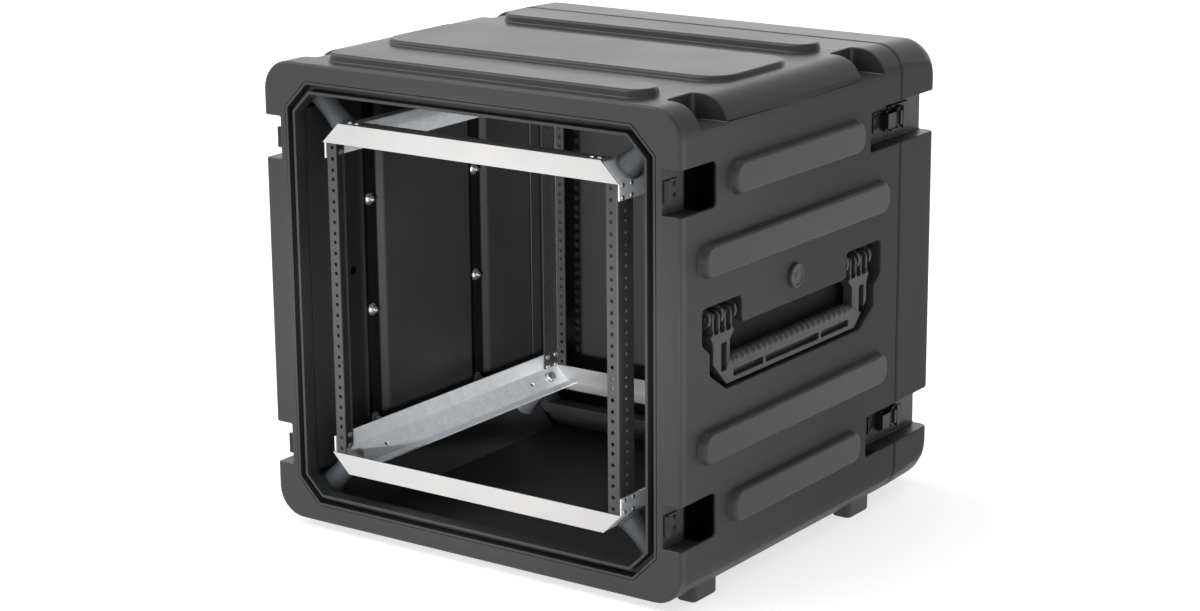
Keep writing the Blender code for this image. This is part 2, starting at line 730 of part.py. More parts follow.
def make_latch(tag, side, level):
    middle = level * NOTCH_Z
    axis = (side * NOTCH_FLOOR_X, LATCH_Y, middle)
    base_x = NOTCH_FLOOR_X + FIT
    front = LID_FRONT + LATCH_SETBACK
    outline = pill(front + LATCH_LONG / 2, middle, LATCH_LONG / 2, LATCH_TALL / 2, 4.0, 3)
    name = f"latch_base_{tag}"
    base = piece(name, mesh_of(name, [along_x(outline, base_x, BASE_TOP_X, side)]), BLACK_STEEL)
    cheeks = []
    for s in (-1, 1):
        z = middle + s * (LATCH_TALL - CHEEK_WIDE - 1.0) / 2
        cheek = rectangle(front + LATCH_LONG / 2, z, LATCH_LONG / 2 - 5.0, CHEEK_WIDE / 2)
        cheeks.append(along_x(cheek, BASE_TOP_X - 1.0, HOOK_X + HOOK_THICK, side))
    join(base, *cheeks)
    tail = front + LATCH_LONG - RIVET_R * 2
    rivet_top = BASE_TOP_X + RIVET_HIGH
    rivets = [circle(tail, middle + s * LATCH_RIVET / 2, RIVET_R, 10) for s in (-1, 1)]
    join(base, *[along_x(rivet, BASE_TOP_X - 1.0, rivet_top, side) for rivet in rivets])

    disc = along_x(circle(LATCH_Y, middle, ROTOR_R, 24), ROTOR_X, ROTOR_X + ROTOR_THICK, side)
    name = f"latch_rotor_{tag}"
    rotor = piece(name, mesh_of(name, [disc], axis), BLACK_STEEL, axis)
    pin = circle(LATCH_Y, middle, ROTOR_PIN_R, 12)
    join(rotor, along_x(pin, BASE_TOP_X + FIT, ROTOR_X + 1.0, side))
    hub_y = LATCH_Y - WING_THICK / 2 - FIT - HUB_LONG / 2
    hub = rectangle(hub_y, middle, HUB_LONG / 2, HUB_WIDE / 2)
    join(rotor, along_x(hub, ROTOR_X + ROTOR_THICK - 1.0, WING_X + WING_THICK, side))

    fold = (side * (WING_X + WING_THICK / 2), LATCH_Y, middle)
    arc = [math.pi * step / 14 - math.pi / 2 for step in range(15)]
    half_moon = [(LATCH_Y + WING_R * math.cos(a), middle + WING_R * math.sin(a)) for a in arc]
    name = f"latch_wing_{tag}"
    wing = along_x(half_moon, WING_X, WING_X + WING_THICK, side)
    piece(name, mesh_of(name, [wing], fold), BLACK_STEEL, fold)

    lip_inner = BODY_DEPTH - KEEPER_SETBACK - KEEPER_LIP_WIDE
    tip_back = lip_inner - 2 * FIT
    tip_front = tip_back - HOOK_TIP
    low = HOOK_X
    high = HOOK_X + HOOK_RISE
    rise = LATCH_Y - ROTOR_R - 2 * FIT - HOOK_RAMP
    profile = [
        (LATCH_Y + HOOK_TAIL, low),
        (LATCH_Y + HOOK_TAIL, low + HOOK_THICK),
        (rise + HOOK_RAMP, low + HOOK_THICK),
        (rise, high + HOOK_THICK),
        (tip_front, high + HOOK_THICK),
        (tip_front, KEEPER_TOP_X + 1.0),
        (tip_back, KEEPER_TOP_X + 1.0),
        (tip_back, high),
        (rise - HOOK_THICK / 2, high),
        (rise + HOOK_RAMP - HOOK_THICK / 2, low),
    ]
    outline = [(side * x, y) for y, x in profile]
    bar = along_z(outline, middle - HOOK_WIDE / 2, middle + HOOK_WIDE / 2)
    name = f"latch_hook_{tag}"
    hook = piece(name, mesh_of(name, [bar]), BLACK_STEEL)
    clear = ROTOR_PIN_R + FIT
    slot = rectangle(LATCH_Y + HOOK_TRAVEL / 2, middle, clear + HOOK_TRAVEL / 2, clear)
    cut(hook, along_x(slot, HOOK_X - 2.0, HOOK_X + HOOK_THICK + 2.0, side))


def knuckle_middles(y):
    shift = (PRONG_THICK + PRONG_GAP) / 2
    return (y - shift, y + shift)


def make_handle(name, side):
    axis = (side * PIVOT_X, MID_Y, PIVOT_Z)
    outer = HANDLE_HALF_Y
    inner = HANDLE_HALF_Y - ARM_WIDE
    head = KNUCKLE_WIDE + (PRONG_THICK + PRONG_GAP - KNUCKLE_WIDE) / 2
    neck = ARM_TOP_Z - ARM_HEAD
    half = [
        (inner, GRIP_Z),
        (inner, neck - ARM_FLARE),
        (BRACKET_Y - head, neck),
        (BRACKET_Y - head, ARM_TOP_Z),
        (BRACKET_Y + head, ARM_TOP_Z),
        (BRACKET_Y + head, neck),
        (outer, neck - ARM_FLARE),
        (outer, HANDLE_BOTTOM_Z + HANDLE_CLIP),
        (outer - HANDLE_CLIP, HANDLE_BOTTOM_Z),
    ]
    right = [(MID_Y + y, z) for y, z in half]
    left = [(MID_Y - y, z) for y, z in reversed(half)]
    frame = along_x(rounded(right + left, 3.0, 2), HANDLE_INNER_X, HANDLE_OUTER_X, side)
    handle = piece(name, mesh_of(name, [frame], axis), BLACK_NYLON, axis)
    grip = circle(side * GRIP_X, GRIP_Z, GRIP_R, 14)
    join(handle, along_y(grip, MID_Y - inner - 6.0, MID_Y + inner + 6.0))
    knuckles = []
    bores = []
    for s in (-1, 1):
        for y in knuckle_middles(MID_Y + s * BRACKET_Y):
            arc = [math.pi * step / 10 for step in range(11)]
            outline = [
                (side * (PIVOT_X + KNUCKLE_R * math.cos(a)), PIVOT_Z + KNUCKLE_R * math.sin(a))
                for a in arc
            ]
            foot_z = ARM_TOP_Z - 3.0
            outline += [(side * (PIVOT_X - KNUCKLE_R + 3.0), foot_z)]
            outline += [(side * (PIVOT_X + KNUCKLE_R), foot_z)]
            half_wide = KNUCKLE_WIDE / 2
            knuckles.append(along_y(outline, y - half_wide, y + half_wide))
            bore = circle(side * PIVOT_X, PIVOT_Z, PIN_R + PIN_CLEAR, 14)
            bores.append(along_y(bore, y - half_wide - 2.0, y + half_wide + 2.0))
    join(handle, *knuckles)
    cut(handle, *bores)
    windows = []
    edges = [TIE_WIDE - inner, -TIE_Y, TIE_Y, inner - TIE_WIDE]
    for near, far in zip(edges, edges[1:]):
        z = (WINDOW_TOP_Z + WINDOW_BOTTOM_Z) / 2
        tall = (WINDOW_TOP_Z - WINDOW_BOTTOM_Z) / 2
        long = (far - near - TIE_WIDE) / 2
        outline = pill(MID_Y + (near + far) / 2, z, long, tall, 2.0, 2)
        windows.append(along_x(outline, HANDLE_OUTER_X - WINDOW_DEEP, HANDLE_OUTER_X + 5.0, side))
    cut(handle, *windows)


def make_bracket(name, side, end):
    y = MID_Y + end * BRACKET_Y
    back = POCKET_FLOOR_X + FIT
    reach = PRONG_GAP + 1.5 * PRONG_THICK
    middle = (BRACKET_TOP_Z + BRACKET_BOTTOM_Z) / 2
    tall = (BRACKET_TOP_Z - BRACKET_BOTTOM_Z) / 2
    outline = pill(y, middle, reach + BRACKET_MARGIN, tall, 3.0, 2)
    plate = along_x(outline, back, back + BRACKET_PLATE, side)
    bracket = piece(name, mesh_of(name, [plate]), BLACK_NYLON)
    nose = PRONG_REACH - PIVOT_X
    low = PIVOT_Z - PRONG_HALF_TALL
    high = PIVOT_Z + PRONG_HALF_TALL
    corners = [
        (back + 1.0, low),
        (PIVOT_X, low),
        (PIVOT_X + nose * 0.8, PIVOT_Z - PRONG_HALF_TALL * 0.6),
        (PRONG_REACH, PIVOT_Z),
        (PIVOT_X + nose * 0.8, PIVOT_Z + PRONG_HALF_TALL * 0.6),
        (PIVOT_X, high),
        (back + 1.0, high),
    ]
    outline = [(side * x, z) for x, z in corners]
    step = PRONG_THICK + PRONG_GAP
    half = PRONG_THICK / 2
    middles = [y - step, y, y + step]
    join(bracket, *[along_y(outline, m - half, m + half) for m in middles])
    pin = circle(side * PIVOT_X, PIVOT_Z, PIN_R, 14)
    join(bracket, along_y(pin, y - step - half - 1.5, y + step + half + 1.5))


def make_valve():
    rings = []
    for out, radius in (
        (FIT, VALVE_R),
        (VALVE_HIGH * 0.6, VALVE_R),
        (VALVE_HIGH, VALVE_R - 2.0),
        (VALVE_HIGH, VALVE_DOME_R),
        (VALVE_HIGH - 2.0, VALVE_DOME_R - 1.0),
    ):
        rings.append([(HALF_W + out, y, z) for y, z in circle(MID_Y + VALVE_Y, VALVE_Z, radius, 20)])
    piece("pressure_valve", mesh_of("pressure_valve", [rings]), BLACK_NYLON)


def make_liner(name, side):
    path = [(LINER_X, LINER_INSET)]
    for offset in (FRONT_CHANNEL_Y, REAR_CHANNEL_Y):
        middle = MID_Y + offset
        half = CHANNEL_WIDE / 2
        path.append((LINER_X, middle - half))
        path.append((CHANNEL_X, middle - half + CHANNEL_SLOPE))
        path.append((CHANNEL_X, middle + half - CHANNEL_SLOPE))
        path.append((LINER_X, middle + half))
    path.append((LINER_X, BODY_DEPTH - LINER_INSET))
    back = [(x + LINER_THICK, y) for x, y in reversed(path)]
    outline = [(side * x, y) for x, y in path + back]
    sheet = along_z(outline, -LINER_HALF_Z, LINER_HALF_Z)
    liner = piece(name, mesh_of(name, [sheet]), MOULDED)
    washers = []
    nuts = []
    studs = []
    for offset in (FRONT_CHANNEL_Y, REAR_CHANNEL_Y):
        for row in (-1, 0, 1):
            y = MID_Y + offset
            z = BOLT_MIDDLE_Z + row * BOLT_PITCH
            top = CHANNEL_X - WASHER_THICK
            washers.append(along_x(circle(y, z, WASHER_R, 14), top, CHANNEL_X + 1.0, side))
            nuts.append(along_x(circle(y, z, NUT_R, 6), top - NUT_THICK, top + 1.0, side))
            stud_top = top - NUT_THICK - STUD_LONG
            studs.append(along_x(circle(y, z, STUD_R, 8), stud_top, top, side))
    join(liner, *washers)
    join(liner, *nuts)
    join(liner, *studs)


def make_rail(name, side, end):
    """An L-shaped rail with its drilled flange towards the opening that end names."""
    face = RAIL_SETBACK if end < 0 else FRAME_BACK
    profile = [
        (RAIL_INNER_X, 0),
        (RAIL_OUTER_X, 0),
        (RAIL_OUTER_X, RAIL_DEEP),
        (RAIL_OUTER_X - RAIL_THICK, RAIL_DEEP),
        (RAIL_OUTER_X - RAIL_THICK, RAIL_THICK),
        (RAIL_INNER_X, RAIL_THICK),
    ]
    outline = [(side * x, face - end * inward) for x, inward in profile]
    tall = along_z(outline, -RACK_HALF_Z, RACK_HALF_Z)
    rail = piece(name, mesh_of(name, [tall]), RAIL_GREY)
    x = side * RACK_HOLES_APART / 2
    half = RACK_HOLE_SIZE / 2
    holes = []
    for unit in range(RACK_UNITS):
        for height in RACK_HOLE_HEIGHTS:
            z = unit * RACK_UNIT + height - RACK_HALF_Z
            near = sorted((face + end * 2.0, face - end * (RAIL_THICK + 2.0)))
            holes.append(along_y(rectangle(x, z, half, half), *near))
    cut(rail, *holes)
    y = face - end * RAIL_DEEP / 2
    inside = RAIL_OUTER_X - RAIL_THICK
    screws = []
    for level in LEVELS.values():
        for s in (-1, 1):
            head = circle(y + s * SCREW_SPREAD, level * SCREW_Z, SCREW_R, 10)
            screws.append(along_x(head, inside - SCREW_HIGH, inside + 1.0, side))
    join(rail, *screws)


def diagonal_stack(side, level, y, steps, count):
    """Rings round a 45-degree corner axis; steps are (x plus z, radius)."""
    lean = BAR_X + BAR_THICK - BAR_OUTER_Z
    rings = []
    for total, radius in steps:
        x = (total + lean) / 2
        z = (total - lean) / 2
        ring = []
        for u, v in circle(0, 0, radius, count):
            ring.append((side * (x + u * DIAGONAL), y + v, level * (z - u * DIAGONAL)))
        rings.append(ring)
    return rings


def bar_web_sum():
    return BAR_X + BAR_THICK + BAR_FLANGE_Z


def make_depth_bar(name, side, level):
    outer = BAR_X + BAR_THICK
    run = BAR_OUTER_Z - BAR_FLANGE_Z
    bend = BAR_THICK * math.tan(math.pi / 8)
    profile = [
        (BAR_X, BAR_EDGE_Z),
        (outer, BAR_EDGE_Z),
        (outer, BAR_FLANGE_Z),
        (outer - run, BAR_OUTER_Z),
        (outer - run - BAR_LIP, BAR_OUTER_Z),
        (outer - run - BAR_LIP, BAR_OUTER_Z - BAR_THICK),
        (outer - run - bend, BAR_OUTER_Z - BAR_THICK),
        (BAR_X, BAR_FLANGE_Z - bend),
    ]
    outline = [(side * x, level * z) for x, z in profile]
    bar = piece(name, mesh_of(name, [along_y(outline, RAIL_SETBACK, FRAME_BACK)]), ZINC)
    inner = bar_web_sum() - BAR_THICK / DIAGONAL
    heads = []
    for end in ENDS.values():
        y = FRAME_MID_Y + end * MOUNT_Y
        steps = ((inner + 1.0, HEAD_R), (inner - HEAD_HIGH / DIAGONAL, HEAD_R))
        heads.append(diagonal_stack(side, level, y, steps, 6))
    join(bar, *heads)


def make_crossbar(name, level, end):
    face = RAIL_SETBACK - FIT if end < 0 else FRAME_BACK + FIT
    outside = face + end * CROSS_THICK
    top = BAR_OUTER_Z + CROSS_GAP + CROSS_THICK + CROSS_EDGE
    short = CROSS_HALF_X - (top - CROSS_INNER_Z)
    plate = [
        (-CROSS_HALF_X, level * CROSS_INNER_Z),
        (CROSS_HALF_X, level * CROSS_INNER_Z),
        (short, level * top),
        (-short, level * top),
    ]
    bar = piece(name, mesh_of(name, [along_y(plate, *sorted((face, outside)))]), PALE_STEEL)
    deep = sorted((face + end * 1.0, outside - end * CROSS_FLANGE))
    z = level * (top - CROSS_EDGE - CROSS_THICK / 2)
    flange = rectangle(0, (deep[0] + deep[1]) / 2, short - 2.0, (deep[1] - deep[0]) / 2)
    join(bar, along_z(flange, z - CROSS_THICK / 2, z + CROSS_THICK / 2))


def make_mount(name, side, level, end):
    y = FRAME_MID_Y + end * MOUNT_Y
    near = bar_web_sum() + FIT / DIAGONAL
    far = WEB_SUM - FIT / DIAGONAL
    plate = MOUNT_PLATE / DIAGONAL
    steps = (
        (near, MOUNT_PLATE_R),
        (near + plate, MOUNT_PLATE_R),
        (near + plate * 1.3, MOUNT_R),
        (far - plate * 1.3, MOUNT_R),
        (far - plate, MOUNT_PLATE_R),
        (far, MOUNT_PLATE_R),
    )
    rings = diagonal_stack(side, level, y, steps, 14)
    piece(name, mesh_of(name, [rings]), GREY_RUBBER)


def main():
    for obj in list(bpy.data.objects):
        bpy.data.objects.remove(obj)
    make_case_shell()
    make_closures()
    make_rear_lid()
    make_valve()
    for side_name, side in SIDES.items():
        make_liner(f"side_liner_{side_name}", side)
        make_handle(f"handle_{side_name}", side)
        for end_name, end in ENDS.items():
            make_bracket(f"handle_bracket_{side_name}_{end_name}", side, end)
            make_rail(f"rack_rail_{side_name}_{end_name}", side, end)
        for level_name, level in LEVELS.items():
            corner = f"{level_name}_{side_name}"
            make_latch(corner, side, level)
            make_depth_bar(f"depth_bar_{corner}", side, level)
            for end_name, end in ENDS.items():
                make_keeper(f"{end_name}_keeper_{corner}", side, level, end)
                make_mount(f"shock_mount_{corner}_{end_name}", side, level, end)
    for level_name, level in LEVELS.items():
        for end_name, end in ENDS.items():
            make_crossbar(f"crossbar_{level_name}_{end_name}", level, end)


main()
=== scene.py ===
"""Looks of the shock-mount rack case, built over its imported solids.

While a piece is shaped its sizes are in millimetres: x runs right from the middle, y runs back from the
front face and z runs up from the rack's middle. to_world() turns them into the frame's metres.
"""

import json
import math

import bmesh
import bpy
import numpy as np
from mathutils import Matrix, Vector

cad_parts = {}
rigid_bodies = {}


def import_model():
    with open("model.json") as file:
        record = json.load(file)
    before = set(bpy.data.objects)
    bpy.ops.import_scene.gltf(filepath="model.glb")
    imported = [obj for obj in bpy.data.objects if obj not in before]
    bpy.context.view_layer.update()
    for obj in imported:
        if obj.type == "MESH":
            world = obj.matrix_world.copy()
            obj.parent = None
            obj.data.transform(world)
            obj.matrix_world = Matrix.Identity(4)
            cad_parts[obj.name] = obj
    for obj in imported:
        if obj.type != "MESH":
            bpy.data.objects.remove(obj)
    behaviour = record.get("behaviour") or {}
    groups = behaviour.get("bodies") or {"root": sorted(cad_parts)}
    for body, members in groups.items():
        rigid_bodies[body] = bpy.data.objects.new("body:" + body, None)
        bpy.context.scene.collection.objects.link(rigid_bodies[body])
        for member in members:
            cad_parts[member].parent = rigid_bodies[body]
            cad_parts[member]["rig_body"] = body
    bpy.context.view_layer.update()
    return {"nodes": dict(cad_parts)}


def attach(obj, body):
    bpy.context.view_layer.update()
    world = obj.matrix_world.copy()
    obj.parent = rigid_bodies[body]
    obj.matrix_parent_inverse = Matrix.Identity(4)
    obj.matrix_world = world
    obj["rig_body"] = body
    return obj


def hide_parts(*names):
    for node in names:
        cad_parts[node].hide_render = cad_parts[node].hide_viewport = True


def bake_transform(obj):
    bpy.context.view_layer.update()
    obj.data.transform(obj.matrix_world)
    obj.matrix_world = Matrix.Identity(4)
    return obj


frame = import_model()

MM = 0.001
FRONT_TO_MIDDLE = 333.5
RACK_MIDDLE = 341.0
SIDES = {"right": 1, "left": -1}
LEVELS = {"upper": 1, "lower": -1}
ENDS = {"front": -1, "rear": 1}
CORNERS = [f"{level}_{side}" for level in LEVELS for side in SIDES]

# Limits for making and cleaning meshes, in metres and radians
NEAR_ZERO = 1e-6
NEARLY_UPRIGHT = 0.9
MERGE_DISTANCE = 2e-6
SLIVER_LENGTH = 1e-7
PLANE_SLACK = 1e-6
FLAT_ANGLE = math.radians(1.0)
SHARP_ANGLE = math.radians(32.0)

# Width of the rounded edges of each kind of piece
EDGE_MOULDING = 1.8
EDGE_CLOSURE = 0.8
EDGE_HANDLE = 1.0
EDGE_BRACKET = 0.7
EDGE_DEPTH_BAR = 0.6
EDGE_CROSSBAR = 0.18
EDGE_LATCH = {"base": 0.2, "rotor": 0.35, "wing": 0.35, "hook": 0.35}
EDGE_KEEPER = 0.5
EDGE_SEGMENTS = 3
EDGE_ANGLE = math.radians(34.0)

# Case body and its closure frames
BODY_HALF_WIDTH = 345.0
BODY_MIDDLE_Y = 281.0
BODY_DEPTH = 562.0
OPENING_HALF_X = 307.0
OPENING_HALF_Z = 305.0
OPENING_CLIP = 37.0
SEAL_FLOOR_Y = 13.7
SEAL_INSET = 8.5
SEAL_HALF_WIDE = 3.9
SEAL_FOOT = 0.3
SEAL_HIGH = 2.6
SEAL_POINTS = 13
VALVE_Y = 278.0
VALVE_Z = 60.0
VALVE_R = 17.0
VALVE_TURNS = 56

# Rack rails
RACK_UNITS = 10
RACK_UNIT = 44.45
RACK_HALF_Z = RACK_UNITS * RACK_UNIT / 2
RACK_HOLE_HEIGHTS = (6.35, 22.225, 38.1)
RACK_HOLE_X = 232.55
RACK_HOLE_R = 2.7
SIDE_HOLE_R = 2.3
HOLE_CHAMFER = 0.35
HOLE_SIDE_STEPS = 4
HOLE_POINTS = 4 * HOLE_SIDE_STEPS
HOLE_FIRST_ANGLE = -135.0
RAIL_INNER_X = 225.0
RAIL_OUTER_X = 243.0
RAIL_DEEP = 35.0
RAIL_THICK = 2.0
RAIL_BEND_R = 3.0
RAIL_BEND_POINTS = 6
RAIL_FACE_Y = {"front": 9.0, "rear": 539.0}

# Depth bars and crossbars
BAR_OUTER_X = 246.0
BAR_THICK = 2.5
BAR_WEB_SUM = 470.0
BAR_WEB_INNER_SUM = BAR_WEB_SUM - BAR_THICK * math.sqrt(2)
BAR_LEAN = -2.0
BAR_HOLE_Y = (107.0, 459.0)
BAR_HOLE_R = 3.2
BAR_HOLE_SPAN = (-8.0, 4.0)
BAR_HOLE_TURNS = 16
JOINT_SCREW_Z = 212.0
JOINT_SCREW_HALF_Z = 8.0
JOINT_SCREW_HALF_Y = 10.0
CROSSBAR_FLANGE_Z = 250.6
CROSSBAR_SCREW_X = (196.0, 208.0)
CROSSBAR_SCREW_Y = {"front": 21.0, "rear": 527.0}

# Heads of screws, rivets, nuts and bolts: a pair of numbers is a radius and a height
JOINT_SCREW = (4.2, 2.2)
JOINT_RIVET = (3.4, 1.8)
CROSSBAR_SCREW = (3.6, 2.0)
KEEPER_RIVET = (3.3, 2.0)
HEAD_SUNK = 0.2
HEAD_TURNS = 32
RIVET_RINGS = 7
RIVET_TURNS = 24
NUT_TURNS = 36
NUT_HALF_FLAT = 5.0
BOLT_HALF_FLAT = 6.3
WASHER_R = 9.0
STUD_R = 3.0

# Shock mounts
CORNER_WEB_SUM = 572.0
MOUNT_Y = {"front": 44.0, "rear": 504.0}
MOUNT_R = 17.0
MOUNT_WAIST = 2.2
MOUNT_RUBBER_START = 5.6
MOUNT_PLATE_R = 19.0
MOUNT_PLATE_THICK = 4.0
MOUNT_PLATE_EDGE = 0.6
MOUNT_GAP = 0.3
MOUNT_BLEND_INSET = 5.0
MOUNT_RINGS = 13
MOUNT_TURNS = 40

# Side liners
LINER_X = 291.0
LINER_CHANNEL_X = 300.7
LINER_THICK = 4.0
LINER_HALF_Z = 262.0
LINER_FRONT_Y = 25.0
LINER_BACK_Y = 537.0
LINER_BEND_R = 4.0
LINER_BEND_POINTS = 5
CHANNEL_Y = (165.0, 409.0)
CHANNEL_HALF = 23.0
CHANNEL_SLOPE = 8.0
BOLT_Z = (-222.0, -58.0, 106.0)
LINER_HOLES = ((72.0, 33.0), (115.0, 12.0))
LINER_HOLE_R = 6.0
LINER_HOLE_FLAT = 0.01
LINER_HOLE_SPAN = (-4.0, 8.0)

# Latch keepers
NOTCH_Z = 222.0
KEEPER_TOP_X = 319.3
KEEPER_RIVET_Y = {"front": 26.0, "rear": 536.0}
KEEPER_RIVET_HALF_Z = 7.5

# Side handles
GRIP_X = 332.0
GRIP_Z = -26.0
GRIP_R = 10.25
GRIP_HALF_Y = 151.0
GRIP_RINGS = 241
GRIP_TURNS = 32
GRIP_RIB_PITCH = 14.0
GRIP_RIB_HIGH = 0.9
GRIP_RIB_POWER = 6
GRIP_RIB_TURN = 0.35
GRIP_RIB_STEEP = 2.2
ARM_Y = 178.0
ARM_CUT_OUTER_X = 350.0
ARM_GROOVE_FLOOR_X = 331.0
ARM_GROOVE_SHIFT = 6.0
ARM_GROOVE_Z = -14.0
ARM_GROOVE_HALF_Y = 6.5
ARM_GROOVE_HALF_Z = 19.0
ARM_GROOVE_R = 2.0
HEAD_Y = 176.0
TINE_OFFSETS = (7.25, 21.75)
TINE_HALF = 2.0
TINE_FOOT_Z = 20.0
TINE_GAP_FLOOR_X = 320.0
TINE_GAP_HALF_Z = 20.0
TINE_GAP_R = 1.5
TINE_END_GAP = 10.0
PILL_POINTS = 6

# Places where the moulded plastic changes, in metres: each pair is where a change starts and is full.
# x is taken from the middle on both sides, z from the rack's middle and y from the body's middle, apart
# from the seam's and the flat walls' y, which are the frame's own.
SEAM_Y = -0.3199
SEAM_HALF = (0.0009, 0.0003)
HOLLOW_FROM_X = (0.3060, 0.3075)
HOLLOW_TO_Y = (0.2330, 0.2310)
# The deep, well, channel and wall bounds place painted shade: the plastic is darkened where shade falls in
# the notch hollows, finger wells and liners' channels, and on the flat walls
DEEP_TO_X = (0.3172, 0.3162)
DEEP_TO_Z = (0.275, 0.270)
WELL_TO_X = (0.3430, 0.3400)
WELL_FROM_Y = (0.1925, 0.1945)
WELL_FROM_Z = (0.187, 0.190)
WELL_TO_Z = (0.257, 0.254)
CHANNEL_FROM_X = (0.2913, 0.2920)
CHANNEL_TO_X = (0.3030, 0.3012)
CHANNEL_TO_Y = (0.250, 0.248)
CHANNEL_TO_Z = (0.2625, 0.2615)
WALL_FROM_X = (0.3410, 0.3425)
WALL_TO_X = (0.3490, 0.3460)
WALL_FROM_Y = (-0.3199, -0.3190)
WALL_FADE_Y = (-0.32, 0.16)

# Floor, surround and lamp. A patch of the surround is its direction, where it starts and is full, and
# its strength.
FLOOR_HALF = 30000.0
FLOOR_LINES = 9
FLOOR_GLOW = 0.70
SKY_DARK = 0.25
SKY_BELT = 1.25
SKY_BELT_TOP = (0.54, 0.30)
SKY_TOP = 1.0
SKY_TOP_FROM = (0.75, 0.92)
SKY_BELT_PATCHES = (
    ((-0.30, 0.954, 0.0), (0.74, 1.0), 2.3),
    ((0.57, 0.82, 0.0), (0.45, 0.85), -0.98),
    ((0.0, -1.0, 0.0), (0.2, 0.8), -0.28),
)
SKY_OVERHEAD_PATCH = ((-0.55, -0.26, 0.79), (0.78, 0.95), 2.8)
LAMP_AT = (1.18, -2.86, 0.54)
LAMP_AIM = (0.0, -0.33, 0.341)
LAMP_WATTS = 640.0
LAMP_CONE = 11.6
LAMP_BLEND = 0.22
LAMP_RADIUS = 0.10

# Camera, in degrees, millimetres of lens and sensor, and metres
CAMERA_AZIMUTH = 35.249
CAMERA_ELEVATION = 15.016
CAMERA_ROLL = -0.463
CAMERA_LENS = 83.48
CAMERA_SENSOR = 36.0
CAMERA_AT = (2.2192, -3.1615, 1.3314)
CAMERA_CLIP = (0.05, 200.0)


def to_world(points):
    """Millimetres to the frame's metres: y less half the whole depth, z plus the rack middle's height."""
    return (np.asarray(points, float) + (0.0, -FRONT_TO_MIDDLE, RACK_MIDDLE)) * MM


def quads(rows, columns, closed=False):
    """A grid's faces: corner (i, j) joins (i, j+1), (i+1, j+1) and (i+1, j).
    closed joins the last column to the first."""
    index = np.arange(rows * columns).reshape(rows, columns)
    if closed:
        index = np.concatenate([index, index[:, :1]], axis=1)
    corners = (index[:-1, :-1], index[:-1, 1:], index[1:, 1:], index[1:, :-1])
    return np.stack(corners, axis=-1).reshape(-1, 4)


def sheet_of(points):
    """A grid of points, rows by columns by three, as a surface."""
    rows, columns = points.shape[:2]
    return points.reshape(-1, 3), [quads(rows, columns)]


def prism(outline, low, high, axis):
    """A closed outline in two coordinates carried from low to high along the third, axis, and capped."""
    outline = np.asarray(outline, float)
    count = len(outline)
    levels = np.repeat([low, high], count)
    points = np.insert(np.tile(outline, (2, 1)), axis, levels, axis=1)
    caps = np.arange(2 * count).reshape(2, count)
    return points, [quads(2, count, closed=True), caps]


def turn_angles(turns):
    """A full turn in equal steps."""
    return 2 * np.pi * np.arange(turns) / turns


def hexagon(flat, turns):
    """The distance to a hexagon's edge at each angle: half its width across flats over the cosine of the
    turn from the nearest flat."""
    turn = (turn_angles(turns) + np.pi / 6) % (np.pi / 3) - np.pi / 6
    return flat / np.cos(turn)


def cross(reach, half_width, turns):
    """The distance to a cross's edge at each angle: the farther edge of its two bars, cut off at reach."""
    sine = np.maximum(np.abs(np.sin(turn_angles(turns))), NEAR_ZERO)
    cosine = np.maximum(np.abs(np.cos(turn_angles(turns))), NEAR_ZERO)
    level = np.minimum(reach / cosine, half_width / sine)
    upright = np.minimum(reach / sine, half_width / cosine)
    return np.maximum(level, upright)


def revolved(rows, centre, axis, turns):
    """A turned shape: each row (along, radius) lies at centre + along * axis + radius * (cos a * first +
    sin a * second), with first and second square to the axis. A radius may be an array over the angle."""
    axis = np.asarray(axis, float) / np.linalg.norm(axis)
    helper = (0.0, 0.0, 1.0) if abs(axis[2]) < NEARLY_UPRIGHT else (1.0, 0.0, 0.0)
    first = np.cross(helper, axis)
    first /= np.linalg.norm(first)
    second = np.cross(axis, first)
    angle = turn_angles(turns)
    along = np.array([row[0] for row in rows], float)[:, None, None]
    radius = np.stack([np.broadcast_to(row[1], turns) for row in rows])
    spokes = (radius * np.cos(angle))[..., None] * first + (radius * np.sin(angle))[..., None] * second
    points = np.asarray(centre, float) + along * axis + spokes
    return points.reshape(-1, 3), [quads(len(rows), turns, closed=True)]


def mesh_from(name, surfaces):
    """One mesh of all the surfaces, with touching points merged and faces turned outwards."""
    points = np.concatenate([surface[0] for surface in surfaces])
    starts = np.cumsum([0] + [len(surface[0]) for surface in surfaces])
    faces = []
    for start, (_, blocks) in zip(starts, surfaces):
        for block in blocks:
            faces += (block + start).tolist()
    mesh = bpy.data.meshes.new(name)
    mesh.from_pydata(to_world(points).tolist(), [], faces)
    merge(mesh)
    smooth(mesh)
    return mesh


def smooth(mesh):
    """Smooth shading, with a crease wherever two faces meet at more than the sharp angle."""
    mesh.shade_smooth()
    mesh.set_sharp_from_angle(angle=SHARP_ANGLE)


def merge(mesh, flatten=False):
    """Merges touching points and turns faces outwards. flatten also joins flat faces, then parts them at
    the three middle planes and at each inward corner, so that no face runs round an opening."""
    bm = bmesh.new()
    bm.from_mesh(mesh)
    bmesh.ops.remove_doubles(bm, verts=bm.verts, dist=MERGE_DISTANCE)
    if flatten:
        bmesh.ops.dissolve_limit(bm, angle_limit=FLAT_ANGLE, verts=bm.verts, edges=bm.edges)
        middle = to_world((0.0, BODY_MIDDLE_Y, 0.0))
        for normal in ((1, 0, 0), (0, 1, 0), (0, 0, 1)):
            everything = bm.verts[:] + bm.edges[:] + bm.faces[:]
            bmesh.ops.bisect_plane(bm, geom=everything, plane_co=middle, plane_no=normal, dist=PLANE_SLACK)
        bmesh.ops.connect_verts_concave(bm, faces=bm.faces)
    else:
        bmesh.ops.dissolve_degenerate(bm, dist=SLIVER_LENGTH, edges=bm.edges)
    bmesh.ops.recalc_face_normals(bm, faces=bm.faces)
    bm.to_mesh(mesh)
    bm.free()


